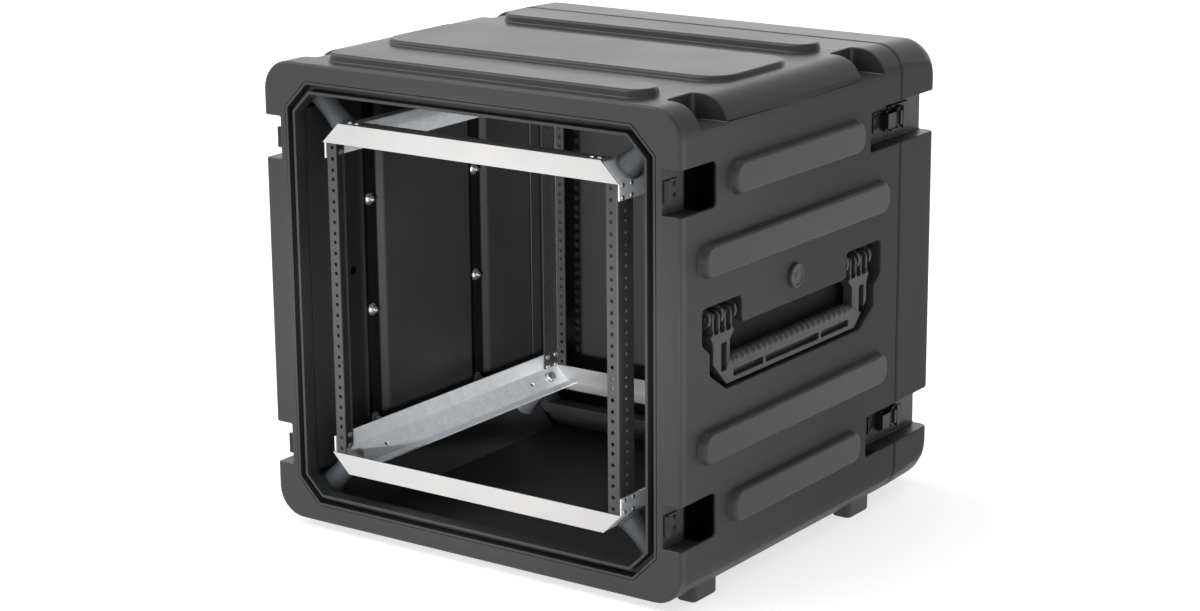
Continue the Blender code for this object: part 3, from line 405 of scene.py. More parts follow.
def carved(mesh, surfaces):
    """The mesh less the space inside the closed surfaces, by an exact Boolean worked out at once."""
    body = bpy.data.objects.new("carving", mesh)
    tool = bpy.data.objects.new("carving_tool", mesh_from("carving_tool", surfaces))
    for obj in (body, tool):
        bpy.context.scene.collection.objects.link(obj)
    boolean = body.modifiers.new("carve", "BOOLEAN")
    boolean.operation = "DIFFERENCE"
    boolean.solver = "EXACT"
    boolean.object = tool
    graph = bpy.context.evaluated_depsgraph_get()
    result = bpy.data.meshes.new_from_object(body.evaluated_get(graph))
    for obj in (body, tool):
        bpy.data.objects.remove(obj)
    return result


class Socket:
    """A shader node's output. Adding to it, taking away from it or multiplying it adds the Math node."""

    def __init__(self, nodes, output):
        self.nodes = nodes
        self.output = output

    def math(self, operation, first, second):
        return self.nodes.node("Math", {"operation": operation}, {0: first, 1: second})

    def __add__(self, other):
        return self.math("ADD", self, other)

    def __radd__(self, other):
        return self.math("ADD", other, self)

    def __sub__(self, other):
        return self.math("SUBTRACT", self, other)

    def __rsub__(self, other):
        return self.math("SUBTRACT", other, self)

    def __mul__(self, other):
        return self.math("MULTIPLY", self, other)

    def __rmul__(self, other):
        return self.math("MULTIPLY", other, self)

    def __abs__(self):
        return self.math("ABSOLUTE", self, 0.0)

    def step(self, low, high):
        """0 up to low, 1 from high, and a smooth step between; low above high turns it round."""
        settings = {"interpolation_type": "SMOOTHSTEP"}
        if low > high:
            return 1 - self.step(high, low)
        return self.nodes.node("MapRange", settings, {"Value": self, "From Min": low, "From Max": high})


class Nodes:
    """A node tree that node() fills."""

    def __init__(self, tree):
        self.tree = tree
        tree.nodes.clear()

    def node(self, kind, settings=None, sockets=None, output=0):
        """Adds one node: its settings first, then each socket's value or link. Gives the output asked for."""
        made = self.tree.nodes.new("ShaderNode" + kind)
        for key, value in (settings or {}).items():
            setattr(made, key, value)
        for key, value in (sockets or {}).items():
            if isinstance(value, Socket):
                self.tree.links.new(value.output, made.inputs[key])
            else:
                made.inputs[key].default_value = value
        return Socket(self, made.outputs[output]) if made.outputs else None

    def axes(self, place):
        return [self.node("SeparateXYZ", None, {"Vector": place}, axis) for axis in "XYZ"]


class Finish(Nodes):
    """A material made of nodes."""

    def __init__(self, name):
        self.material = bpy.data.materials.new(name)
        self.material.use_nodes = True
        super().__init__(self.material.node_tree)
        self.place = self.node("TexCoord", None, None, "Object")

    def mix(self, factor, first, second):
        return self.node("Mix", {"data_type": "RGBA"}, {0: factor, 6: first, 7: second}, 2)

    def noise(self, scale, detail, stretch=None):
        """Noise over the piece; stretch multiplies the three coordinates first."""
        place = self.place
        if stretch:
            place = self.node("Mapping", None, {"Vector": place, "Scale": stretch})
        return self.node("TexNoise", None, {"Vector": place, "Scale": scale, "Detail": detail})

    def bump(self, height, strength, distance=0.0003):
        return self.node("Bump", None, {"Height": height, "Strength": strength, "Distance": distance})

    def surface(self, **sockets):
        values = {name.replace("_", " "): value for name, value in sockets.items()}
        shader = self.node("BsdfPrincipled", None, values)
        self.node("OutputMaterial", None, {"Surface": shader})
        return self.material


def grey(value, blue=0.0):
    """A grey with its blue raised and its red lowered by that share."""
    return (value * (1 - blue), value, value * (1 + blue), 1.0)


def moulded_plastic():
    """Black-grey moulding: fine pebble, slow changes of tone and gloss, and a parting line round the front
    slab. The flat walls are less glossy than the raised pads and carry painted shade that deepens towards
    the rear; the deep hollows are matt and painted dark as shade, and the finger wells and the liners'
    channels are painted nearly black as shade."""
    f = Finish("moulded_plastic")
    x, y, z = f.axes(f.place)
    across = abs(x)
    along = abs(y - (BODY_MIDDLE_Y - FRONT_TO_MIDDLE) * MM)
    height = abs(z - RACK_MIDDLE * MM)
    pebble = f.noise(420.0, 3.0)
    cloud = f.noise(7.0, 3.0)
    drag = f.noise(4.0, 3.0, stretch=(60.0, 6.0, 60.0))
    line = abs(y - SEAM_Y).step(*SEAM_HALF)
    hollow = across.step(*HOLLOW_FROM_X) * along.step(*HOLLOW_TO_Y)
    # deep: the far end of the notch hollows, painted near black as shade and made matt
    deep = hollow * across.step(*DEEP_TO_X) * height.step(*DEEP_TO_Z)
    # well: the finger wells, painted nearly black as shade
    well = hollow * across.step(*WELL_TO_X) * along.step(*WELL_FROM_Y)
    well = well * height.step(*WELL_FROM_Z) * height.step(*WELL_TO_Z)
    # channel: the liners' channels, painted nearly black as shade
    channel = across.step(*CHANNEL_FROM_X) * across.step(*CHANNEL_TO_X)
    channel = channel * height.step(*CHANNEL_TO_Z) * along.step(*CHANNEL_TO_Y)
    # walls: painted shade on the flat side walls, darker than the raised pads and deeper towards the rear;
    # the walls are also made less glossy
    walls = across.step(*WALL_FROM_X) * across.step(*WALL_TO_X) * y.step(*WALL_FROM_Y)
    walls = walls * (0.45 + y.step(*WALL_FADE_Y) * 0.55)
    tone = f.mix(cloud, grey(0.017), grey(0.025, -0.03))
    tone = f.mix(drag.step(0.62, 0.80) * 0.35, tone, grey(0.04))
    # The four mixes below paint shade: on the flat walls, in the deepest hollows, in the liners' channels and
    # in the finger wells
    tone = f.mix(walls * 0.5, tone, grey(0.010))
    tone = f.mix(deep * 0.7, tone, grey(0.004))
    tone = f.mix(channel * 0.8, tone, grey(0.004))
    tone = f.mix(well, tone, grey(0.001))
    tone = f.mix(line * 0.8, tone, grey(0.004))
    return f.surface(
        Base_Color=tone,
        Roughness=0.40 + cloud * 0.10 + pebble * 0.06 + deep * 0.40 + walls * 0.25,
        # Metal over the near-black wells and channels removes their reflections, which is part of the painted
        # shade
        Metallic=well * 0.9 + channel * 0.6,
        Normal=f.bump(pebble - line * 1.5, strength=0.26, distance=0.0004),
        Specular_IOR_Level=0.55,
    )


def frame_aluminium():
    """Black coated extrusion: fine die lines along it and a satin coat."""
    f = Finish("frame_aluminium")
    lines = f.noise(1.0, 2.0, stretch=(20.0, 1500.0, 20.0))
    cloud = f.noise(14.0, 3.0)
    return f.surface(
        Base_Color=f.mix(cloud, grey(0.014), grey(0.024, 0.04)),
        Roughness=0.30 + lines * 0.12 + cloud * 0.08,
        Normal=f.bump(lines, strength=0.10),
        Specular_IOR_Level=0.6,
    )


def seal_rubber():
    """Matt black seal with a faint bloom."""
    f = Finish("seal_rubber")
    bloom = f.noise(55.0, 4.0)
    grain = f.noise(1400.0, 2.0)
    return f.surface(
        Base_Color=f.mix(bloom.step(0.5, 0.8) * 0.5, grey(0.022), grey(0.045)),
        Roughness=0.50 + bloom * 0.18,
        Normal=f.bump(grain, strength=0.12),
    )


def mount_rubber():
    """Blue-grey shock mount rubber with a cloudy bloom and a fine moulded grain."""
    f = Finish("mount_rubber")
    bloom = f.noise(40.0, 3.0)
    grain = f.noise(900.0, 2.0)
    return f.surface(
        Base_Color=f.mix(bloom, grey(0.06, 0.12), grey(0.11, 0.10)),
        Roughness=0.38 + bloom * 0.16,
        Normal=f.bump(grain, strength=0.1),
    )


def zinc_steel():
    """Zinc plate: a blue-white metal with rolling streaks front to back, soft spangle and dull stains."""
    f = Finish("zinc_steel")
    streak = f.noise(1.0, 3.0, stretch=(240.0, 5.0, 240.0))
    spangle = f.node("TexVoronoi", None, {"Vector": f.place, "Scale": 130.0}, "Color")
    grain = f.node("SeparateXYZ", None, {"Vector": spangle}, 0)
    stain = f.noise(22.0, 4.0)
    tone = f.mix(grain * 0.5 + streak * 0.5, grey(0.66, 0.045), grey(0.84, 0.03))
    tone = f.mix(stain.step(0.60, 0.78) * 0.25, tone, grey(0.36, 0.02))
    return f.surface(
        Base_Color=tone,
        Roughness=0.30 + streak * 0.14 + grain * 0.05 + stain.step(0.5, 0.8) * 0.1,
        Metallic=0.3,
        Normal=f.bump(streak, strength=0.05),
    )


def pale_steel():
    """Pale plated metal, faintly brushed across the case."""
    f = Finish("pale_steel")
    brush = f.noise(1.0, 2.0, stretch=(8.0, 300.0, 700.0))
    stain = f.noise(16.0, 3.0)
    return f.surface(
        Base_Color=f.mix(stain, grey(0.55), grey(0.62, -0.02)),
        Roughness=0.34 + brush * 0.14 + stain * 0.06,
        Metallic=1.0,
        Normal=f.bump(brush, strength=0.05),
    )


def rail_steel():
    """Dark grey coating on drawn steel, cloudy along the rail, with a fine orange peel."""
    f = Finish("rail_steel")
    peel = f.noise(800.0, 2.0)
    cloud = f.noise(1.0, 3.0, stretch=(40.0, 40.0, 8.0))
    return f.surface(
        Base_Color=f.mix(cloud, grey(0.03, 0.03), grey(0.05, 0.02)),
        Roughness=0.36 + cloud * 0.14,
        Metallic=0.2,
        Normal=f.bump(peel, strength=0.08),
    )


def latch_steel():
    """Black coated pressed steel, rubbed paler in places."""
    f = Finish("latch_steel")
    peel = f.noise(700.0, 2.0)
    rub = f.noise(90.0, 4.0)
    return f.surface(
        Base_Color=f.mix(rub.step(0.52, 0.72) * 0.5, grey(0.014), grey(0.035, 0.02)),
        Roughness=0.32 + rub * 0.16,
        Metallic=0.35,
        Normal=f.bump(peel, strength=0.10),
    )


def black_nylon():
    """Moulded nylon: a mottled black-grey with a soft grain."""
    f = Finish("black_nylon")
    grain = f.noise(750.0, 3.0)
    mottle = f.noise(60.0, 4.0)
    return f.surface(
        Base_Color=f.mix(mottle, grey(0.020), grey(0.044)),
        Roughness=0.36 + mottle * 0.2,
        Normal=f.bump(grain, strength=0.14, distance=0.0004),
    )


FINISHES = {
    "moulded_plastic": moulded_plastic(),
    "frame_aluminium": frame_aluminium(),
    "seal_rubber": seal_rubber(),
    "mount_rubber": mount_rubber(),
    "zinc_steel": zinc_steel(),
    "pale_steel": pale_steel(),
    "rail_steel": rail_steel(),
    "latch_steel": latch_steel(),
    "black_nylon": black_nylon(),
}


def shown(name, mesh, slot):
    """A mesh as an object with the finish of its slot."""
    mesh.materials.clear()
    mesh.materials.append(FINISHES[slot])
    obj = bpy.data.objects.new(name, mesh)
    bpy.context.scene.collection.objects.link(obj)
    return obj


def fitted(name, surfaces, slot, body, *replaces):
    """A new piece that rides on a body, and stands for the nodes that it names."""
    obj = shown(name, mesh_from(name, surfaces), slot)
    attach(obj, body)
    if replaces:
        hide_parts(*replaces)
    return obj


def softened(node, slot, width, cuts=None):
    """A copy of a node with its flat faces merged, its details cut and its edges rounded to width."""
    source = frame["nodes"][node]
    mesh = source.data.copy()
    merge(mesh, flatten=True)
    if cuts:
        mesh = carved(mesh, cuts)
        merge(mesh, flatten=True)
    mesh.shade_smooth()
    obj = shown(f"{node}_skin", mesh, slot)
    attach(obj, source["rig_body"])
    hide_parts(node)
    edge = obj.modifiers.new("edge", "BEVEL")
    edge.width = width * MM
    edge.segments = EDGE_SEGMENTS
    edge.limit_method = "ANGLE"
    edge.angle_limit = EDGE_ANGLE
    edge.use_clamp_overlap = False
    edge.loop_slide = False
    edge.miter_outer = "MITER_ARC"
    weighted = obj.modifiers.new("weighted", "WEIGHTED_NORMAL")
    weighted.weight = 100
    weighted.keep_sharp = False
    return obj


def hole_heights():
    """Three holes in each rack unit, counted from the rail's foot."""
    units = np.arange(RACK_UNITS)[:, None] * RACK_UNIT
    return (units + np.array(RACK_HOLE_HEIGHTS)).ravel() - RACK_HALF_Z


def cell_edges():
    """Heights halfway between neighbouring holes, with the rail's two ends."""
    holes = hole_heights()
    return np.concatenate([[-RACK_HALF_Z], (holes[1:] + holes[:-1]) / 2, [RACK_HALF_Z]])


def strip_levels():
    """The heights of the points on a drilled strip's long edges: each cell's steps, and the top."""
    edges = cell_edges()
    steps = np.arange(HOLE_SIDE_STEPS) / HOLE_SIDE_STEPS
    levels = edges[:-1, None] + np.diff(edges)[:, None] * steps
    return np.append(levels.ravel(), RACK_HALF_Z)


def drilled_strip(low, high, hole, radius):
    """A drilled strip in (across, depth, height): each cell has rings of points that run from its front edge
    to the chamfered rim, through the sheet and out to its rear edge."""
    ramp = np.arange(HOLE_SIDE_STEPS) / HOLE_SIDE_STEPS
    ones = np.ones(HOLE_SIDE_STEPS)
    zeros = np.zeros(HOLE_SIDE_STEPS)
    across = np.concatenate([ramp, ones, 1 - ramp, zeros])
    up = np.concatenate([zeros, ramp, ones, 1 - ramp])
    angle = np.radians(HOLE_FIRST_ANGLE + 360.0 / HOLE_POINTS * np.arange(HOLE_POINTS))
    edges = cell_edges()
    holes = hole_heights()
    cells = len(holes)
    edge_u = np.broadcast_to(low + (high - low) * across, (cells, HOLE_POINTS))
    edge_v = edges[:-1, None] + np.diff(edges)[:, None] * up
    radii = np.array([radius + HOLE_CHAMFER, radius, radius])[None, :, None]
    ring_u = hole + radii * np.cos(angle) + np.zeros((cells, 1, 1))
    ring_v = holes[:, None, None] + radii * np.sin(angle)
    u = np.concatenate([edge_u[:, None], ring_u, edge_u[:, None]], axis=1)
    v = np.concatenate([edge_v[:, None], ring_v, edge_v[:, None]], axis=1)
    depths = np.array([0.0, 0.0, HOLE_CHAMFER, RAIL_THICK, RAIL_THICK])
    depth = depths[None, :, None] + np.zeros_like(u)
    points = np.stack([u, depth, v], axis=-1).reshape(-1, 3)
    starts = np.arange(cells) * len(depths) * HOLE_POINTS
    faces = quads(len(depths), HOLE_POINTS, closed=True)[None] + starts[:, None, None]
    return points, faces.reshape(-1, 4)


def edge_wall(across, depth, height):
    """A grid from three arrays that stretch to the same shape."""
    return sheet_of(np.stack(np.broadcast_arrays(across, depth, height), axis=-1))


def rail_surfaces(side, end):
    """A rail bent from sheet: a drilled flange, a quarter bend and a drilled side, with walls on all free
    edges. It is laid out as (across, inward, height) and then turned to its side and end."""
    bend_x = RAIL_OUTER_X - RAIL_BEND_R
    inner_r = RAIL_BEND_R - RAIL_THICK
    levels = strip_levels()[:, None]
    through = np.array([0.0, RAIL_THICK])
    outer = RAIL_OUTER_X - through
    flange_points, flange_faces = drilled_strip(RAIL_INNER_X, bend_x, RACK_HOLE_X, RACK_HOLE_R)
    laid, side_faces = drilled_strip(RAIL_BEND_R, RAIL_DEEP, RAIL_DEEP / 2, SIDE_HOLE_R)
    side_points = np.stack([RAIL_OUTER_X - laid[:, 1], laid[:, 0], laid[:, 2]], axis=-1)
    turn = np.radians(np.linspace(-90.0, 0.0, RAIL_BEND_POINTS))
    surfaces = [(flange_points, [flange_faces]), (side_points, [side_faces])]
    for radius in (RAIL_BEND_R, inner_r):
        across = bend_x + radius * np.cos(turn)
        surfaces.append(edge_wall(across, RAIL_BEND_R + radius * np.sin(turn), levels))
    surfaces.append(edge_wall(RAIL_INNER_X, through, levels))
    surfaces.append(edge_wall(outer, RAIL_DEEP, levels))
    share = np.linspace(0.0, 1.0, HOLE_SIDE_STEPS + 1)[:, None]
    radii = np.array([RAIL_BEND_R, inner_r])
    bend_across = bend_x + radii * np.cos(turn[:, None])
    bend_inward = RAIL_BEND_R + radii * np.sin(turn[:, None])
    for height in (-RACK_HALF_Z, RACK_HALF_Z):
        surfaces.append(edge_wall(RAIL_INNER_X + (bend_x - RAIL_INNER_X) * share, through, height))
        surfaces.append(edge_wall(outer, RAIL_BEND_R + (RAIL_DEEP - RAIL_BEND_R) * share, height))
        surfaces.append(edge_wall(bend_across, bend_inward, height))
    turned = []
    for points, blocks in surfaces:
        across, inward, height = points.T
        y = RAIL_FACE_Y[end] - ENDS[end] * inward
        turned.append((np.stack([side * across, y, height], axis=-1), blocks))
    return turned


def screw_head(centre, axis, radius, high):
    """A pan head with a cross recess: a domed disc whose inner rings follow the cross down to its floor.
    Its rows are shares of the radius and the height."""
    recess = cross(radius * 0.55, radius * 0.16, HEAD_TURNS)
    rows = [
        (-HEAD_SUNK, 0.0),
        (-HEAD_SUNK, radius),
        (high * 0.45, radius),
        (high * 0.75, radius * 0.92),
        (high * 0.95, radius * 0.74),
        (high, radius * 0.58),
        (high, recess),
        (high * 0.35, recess * 0.85),
        (high * 0.30, 0.0),
    ]
    return revolved(rows, centre, axis, HEAD_TURNS)


def rivet_head(centre, axis, radius, high):
    """A low dome: the radius falls as the cosine while the height rises as the sine of the turn."""
    turn = np.radians(np.linspace(0.0, 90.0, RIVET_RINGS))
    dome = list(zip(high * np.sin(turn), radius * np.cos(turn)))
    rows = [(-HEAD_SUNK, 0.0), (-HEAD_SUNK, radius)] + dome
    return revolved(rows, centre, axis, RIVET_TURNS)


def nut_on_stud(centre, axis):
    """A washer, a chamfered hexagon nut and the end of its threaded stud, as one turned outline."""
    corner = hexagon(NUT_HALF_FLAT, NUT_TURNS)
    chamfer = np.minimum(corner, NUT_HALF_FLAT * 1.04)
    rows = [
        (0.05, 0.0),
        (0.05, WASHER_R),
        (1.3, WASHER_R),
        (1.6, WASHER_R - 0.4),
        (1.6, corner),
        (5.4, corner),
        (6.1, chamfer),
        (6.1, STUD_R + 0.2),
        (6.6, STUD_R),
        (9.2, STUD_R),
        (9.9, STUD_R - 0.7),
        (9.9, 0.0),
    ]
    return revolved(rows, centre, axis, NUT_TURNS)


def hex_bolt(centre, axis):
    """A flanged hexagon head whose corners are turned off at the top."""
    corner = hexagon(BOLT_HALF_FLAT, NUT_TURNS)
    rows = [
        (-0.1, 0.0),
        (-0.1, WASHER_R),
        (0.9, WASHER_R),
        (1.3, WASHER_R - 0.6),
        (1.3, corner),
        (4.4, corner),
        (5.0, BOLT_HALF_FLAT),
        (5.0, 0.0),
    ]
    return revolved(rows, centre, axis, NUT_TURNS)


def web_place(side, level, web_sum, y):
    """A point on the sloping web's line, where x and z add up to web_sum and differ by the lean."""
    return (side * (web_sum + BAR_LEAN) / 2, y, level * (web_sum - BAR_LEAN) / 2)


def mount_surface(side, level, end):
    """A shock mount turned about its 45-degree axis: two end plates, and rubber that draws in as a sine
    between them. Gives the surface, its start and its length."""
    long = (CORNER_WEB_SUM - BAR_WEB_SUM) * math.sqrt(0.5) - 2 * MOUNT_GAP
    centre = web_place(side, level, BAR_WEB_SUM + MOUNT_GAP * math.sqrt(2), MOUNT_Y[end])
    share = np.linspace(0.0, 1.0, MOUNT_RINGS)
    waist = MOUNT_R - MOUNT_WAIST * np.sin(np.pi * share)
    rubber = list(zip(MOUNT_RUBBER_START + (long - 2 * MOUNT_RUBBER_START) * share, waist))
    plate = [
        (0.0, 0.0),
        (0.0, MOUNT_PLATE_R - MOUNT_PLATE_EDGE),
        (MOUNT_PLATE_EDGE, MOUNT_PLATE_R),
        (MOUNT_PLATE_THICK - MOUNT_PLATE_EDGE, MOUNT_PLATE_R),
        (MOUNT_PLATE_THICK, MOUNT_PLATE_R - MOUNT_PLATE_EDGE),
    ]
    far_plate = [(long - along, radius) for along, radius in reversed(plate)]
    return revolved(plate + rubber + far_plate, centre, (side, 0.0, level), MOUNT_TURNS), centre, long


def liner_surfaces(side):
    """A pressed sheet: its inner line runs along the wall and dips into two channels, with each bend rounded.
    The outer line is the same, one thickness out."""
    corners = [(LINER_X, LINER_FRONT_Y)]
    for middle in CHANNEL_Y:
        corners.append((LINER_X, middle - CHANNEL_HALF))
        corners.append((LINER_CHANNEL_X, middle - CHANNEL_HALF + CHANNEL_SLOPE))
        corners.append((LINER_CHANNEL_X, middle + CHANNEL_HALF - CHANNEL_SLOPE))
        corners.append((LINER_X, middle + CHANNEL_HALF))
    corners.append((LINER_X, LINER_BACK_Y))
    inner = rounded_path(np.array(corners), LINER_BEND_R, LINER_BEND_POINTS)
    outer = inner[::-1] + (LINER_THICK, 0.0)
    outline = np.concatenate([inner, outer]) * (side, 1.0)
    return [prism(outline, -LINER_HALF_Z, LINER_HALF_Z, 2)]


def rounded_path(corners, radius, steps):
    """An open line with each inner corner turned into a curve that leaves one side and joins the other at
    the same distance: a quadratic blend of the three points."""
    here = corners[1:-1]
    back = corners[:-2] - here
    ahead = corners[2:] - here
    back /= np.linalg.norm(back, axis=1)[:, None]
    ahead /= np.linalg.norm(ahead, axis=1)[:, None]
    half = np.arccos(np.clip((back * ahead).sum(axis=1), -1.0, 1.0)) / 2
    reach = (radius / np.tan(half))[:, None]
    t = np.linspace(0.0, 1.0, steps)[None, :, None]
    start = (here + back * reach)[:, None]
    end = (here + ahead * reach)[:, None]
    curve = (1 - t) ** 2 * start + 2 * t * (1 - t) * here[:, None] + t**2 * end
    return np.concatenate([corners[:1], curve.reshape(-1, 2), corners[-1:]])


def octagon(inset):
    """The closure frame's outline, moved inwards by the same distance on all eight sides."""
    half_x = OPENING_HALF_X - inset
    half_z = OPENING_HALF_Z - inset
    clip = OPENING_CLIP - inset * (2 - math.sqrt(2))
    right = [(half_x, clip - half_z), (half_x, half_z - clip)]
    top = [(half_x - clip, half_z), (clip - half_x, half_z)]
    return np.array(right + top + [(-x, -z) for x, z in right + top])


def seal_surfaces(floor_y, inward):
    """A bulb seal round the closure frame: a half ellipse over a flat foot, carried round the octagon."""
    turn = np.radians(np.linspace(0.0, 180.0, SEAL_POINTS))
    insets = np.append(SEAL_INSET - SEAL_HALF_WIDE * np.cos(turn), SEAL_INSET)
    depths = np.append(floor_y + inward * (SEAL_FOOT + SEAL_HIGH * np.sin(turn)), floor_y)
    rings = np.stack([octagon(inset) for inset in insets])
    y = np.broadcast_to(depths[:, None], rings.shape[:2])
    points = np.stack([rings[..., 0], y, rings[..., 1]], axis=-1)
    loops = np.concatenate([points, points[:1]])
    closed = np.concatenate([loops, loops[:, :1]], axis=1)
    return [sheet_of(closed)]


def grip_surfaces(side):
    """The ribbed grip: a tube whose radius rises in rounded ribs along its upper outer half.
    radius = GRIP_R + GRIP_RIB_HIGH * rib(y) * half(angle), with rib an even power of the pitch's cosine."""
    y = GRIP_HALF_Y * np.linspace(-1.0, 1.0, GRIP_RINGS)
    angle = turn_angles(GRIP_TURNS)
    rib = np.cos(np.pi * y / GRIP_RIB_PITCH) ** GRIP_RIB_POWER
    half = np.clip(np.sin(angle + GRIP_RIB_TURN) * GRIP_RIB_STEEP, 0.0, 1.0)
    radius = GRIP_R + GRIP_RIB_HIGH * rib[:, None] * half[None, :]
    x = side * (GRIP_X + radius * np.cos(angle))
    z = GRIP_Z + radius * np.sin(angle)
    points = np.stack([x, np.broadcast_to((BODY_MIDDLE_Y + y)[:, None], x.shape), z], axis=-1)
    first_cap = np.arange(GRIP_TURNS)[None]
    last_cap = first_cap + (GRIP_RINGS - 1) * GRIP_TURNS
    return [(points.reshape(-1, 3), [quads(GRIP_RINGS, GRIP_TURNS, closed=True), first_cap, last_cap])]


def pill(u, v, half_u, half_v, radius):
    """A rounded rectangle: each corner's quarter turn round its own centre."""
    turn = np.radians(np.linspace(0.0, 90.0, PILL_POINTS))
    corner = np.stack([np.cos(turn), np.sin(turn)], axis=-1) * radius + (half_u - radius, half_v - radius)
    corners = [corner, corner[::-1] * (-1, 1), corner * (-1, -1), corner[::-1] * (1, -1)]
    return np.concatenate(corners) + (u, v)


def arm_cuts(side):
    """The hollow down each handle arm, and the gaps that leave four upright tines at its head."""
    groove_span = sorted((side * ARM_GROOVE_FLOOR_X, side * ARM_CUT_OUTER_X))
    gap_span = sorted((side * TINE_GAP_FLOOR_X, side * ARM_CUT_OUTER_X))
    inner, outer = TINE_OFFSETS
    between = outer - inner - 2 * TINE_HALF
    gaps = [(0.0, 2 * (inner - TINE_HALF))]
    gaps += [(half * (inner + outer) / 2, between) for half in (-1, 1)]
    gaps += [(half * (outer + TINE_HALF + TINE_END_GAP / 2), TINE_END_GAP) for half in (-1, 1)]
    cuts = []
    for end in ENDS.values():
        arm = BODY_MIDDLE_Y + end * ARM_Y + ARM_GROOVE_SHIFT
        groove = pill(arm, ARM_GROOVE_Z, ARM_GROOVE_HALF_Y, ARM_GROOVE_HALF_Z, ARM_GROOVE_R)
        cuts.append(prism(groove, *groove_span, 0))
        head = BODY_MIDDLE_Y + end * HEAD_Y
        for middle, wide in gaps:
            gap = pill(head + middle, TINE_FOOT_Z + TINE_GAP_HALF_Z, wide / 2, TINE_GAP_HALF_Z, TINE_GAP_R)
            cuts.append(prism(gap, *gap_span, 0))
    return cuts


def valve_surfaces():
    """A turned vent cap: a straight wall, a rounded rim and a shallow dish with a low button."""
    rows = [
        (0.05, 0.0),
        (0.05, VALVE_R),
        (3.2, VALVE_R),
        (4.4, VALVE_R - 0.5),
        (4.95, VALVE_R - 1.6),
        (4.95, VALVE_R - 2.6),
        (4.3, VALVE_R - 3.2),
        (3.9, VALVE_R - 4.2),
        (3.9, 5.0),
        (4.2, 4.4),
        (4.3, 0.0),
    ]
    return [revolved(rows, (BODY_HALF_WIDTH, VALVE_Y, VALVE_Z), (1.0, 0.0, 0.0), VALVE_TURNS)]


def bar_cuts(side, level):
    """Two tooling holes through a depth bar's sloping web."""
    start, stop = BAR_HOLE_SPAN
    rows = [(start, 0.0), (start, BAR_HOLE_R), (stop, BAR_HOLE_R), (stop, 0.0)]
    places = [web_place(side, level, BAR_WEB_SUM, y) for y in BAR_HOLE_Y]
    return [revolved(rows, place, (side, 0.0, level), BAR_HOLE_TURNS) for place in places]


def dress_mouldings():
    """The case, the lid, their closure frames and seals, and the vent cap."""
    softened("case_shell", "moulded_plastic", EDGE_MOULDING)
    softened("rear_lid", "moulded_plastic", EDGE_MOULDING)
    for node in ("front_valance", "rear_valance", "lid_tongue"):
        softened(node, "frame_aluminium", EDGE_CLOSURE)
    rear_floor_y = BODY_DEPTH - SEAL_FLOOR_Y
    fitted("front_seal", seal_surfaces(SEAL_FLOOR_Y, -1), "seal_rubber", "case", "front_gasket")
    fitted("rear_seal", seal_surfaces(rear_floor_y, 1), "seal_rubber", "case", "rear_gasket")
    fitted("vent_cap", valve_surfaces(), "black_nylon", "case", "pressure_valve")


def dress_side(name, side):
    """A side's liner with its access holes and nuts, and its handle with ribs and brackets."""
    hole_span = sorted(side * (LINER_X + reach) for reach in LINER_HOLE_SPAN)
    corner_r = LINER_HOLE_R - LINER_HOLE_FLAT
    outlines = [pill(y, z, LINER_HOLE_R, LINER_HOLE_R, corner_r) for y, z in LINER_HOLES]
    holes = [prism(outline, *hole_span, 0) for outline in outlines]
    mesh = carved(mesh_from(f"liner_{name}", liner_surfaces(side)), holes)
    smooth(mesh)
    liner = shown(f"liner_{name}", mesh, "moulded_plastic")
    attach(liner, "case")
    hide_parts(f"side_liner_{name}")
    places = [(side * LINER_CHANNEL_X, y, z) for y in CHANNEL_Y for z in BOLT_Z]
    nuts = [nut_on_stud(place, (-side, 0.0, 0.0)) for place in places]
    fitted(f"liner_nuts_{name}", nuts, "pale_steel", "case")
    softened(f"handle_{name}", "black_nylon", EDGE_HANDLE, cuts=arm_cuts(side))
    fitted(f"grip_ribs_{name}", grip_surfaces(side), "black_nylon", f"grip_{name}")
    for end in ENDS:
        softened(f"handle_bracket_{name}_{end}", "black_nylon", EDGE_BRACKET)


def joint_fasteners(side, end):
    """The eight screws that join a rail to its depth bars, each with its riveted end outside the bar."""
    middle = RAIL_FACE_Y[end] - ENDS[end] * RAIL_DEEP / 2
    heads = []
    for level in LEVELS.values():
        for up in (-1, 1):
            for along in (-1, 1):
                y = middle + along * JOINT_SCREW_HALF_Y
                z = level * JOINT_SCREW_Z + up * JOINT_SCREW_HALF_Z
                inside = (side * (RAIL_OUTER_X - RAIL_THICK), y, z)
                heads.append(screw_head(inside, (-side, 0, 0), *JOINT_SCREW))
                heads.append(rivet_head((side * BAR_OUTER_X, y, z), (side, 0, 0), *JOINT_RIVET))
    return heads


def dress_rails():
    """The four rails with round holes, and the fasteners at their ends."""
    for side_name, side in SIDES.items():
        for end in ENDS:
            tag = f"{side_name}_{end}"
            fitted(f"rail_{tag}", rail_surfaces(side, end), "rail_steel", "rack_frame", f"rack_rail_{tag}")
            fitted(f"rail_screws_{tag}", joint_fasteners(side, end), "pale_steel", "rack_frame")


def dress_bars():
    """The depth bars with their mount bolts, and the crossbars with their screws."""
    for level_name, level in LEVELS.items():
        for side_name, side in SIDES.items():
            tag = f"{level_name}_{side_name}"
            softened(f"depth_bar_{tag}", "zinc_steel", EDGE_DEPTH_BAR, cuts=bar_cuts(side, level))
            places = [web_place(side, level, BAR_WEB_INNER_SUM, y) for y in MOUNT_Y.values()]
            bolts = [hex_bolt(place, (-side, 0, -level)) for place in places]
            fitted(f"mount_bolts_{tag}", bolts, "pale_steel", "rack_frame")
        for end in ENDS:
            tag = f"{level_name}_{end}"
            softened(f"crossbar_{tag}", "pale_steel", EDGE_CROSSBAR)
            y, z = CROSSBAR_SCREW_Y[end], level * CROSSBAR_FLANGE_Z
            places = [(side * x, y, z) for side in SIDES.values() for x in CROSSBAR_SCREW_X]
            heads = [screw_head(place, (0, 0, level), *CROSSBAR_SCREW) for place in places]
            fitted(f"crossbar_screws_{tag}", heads, "pale_steel", "rack_frame")


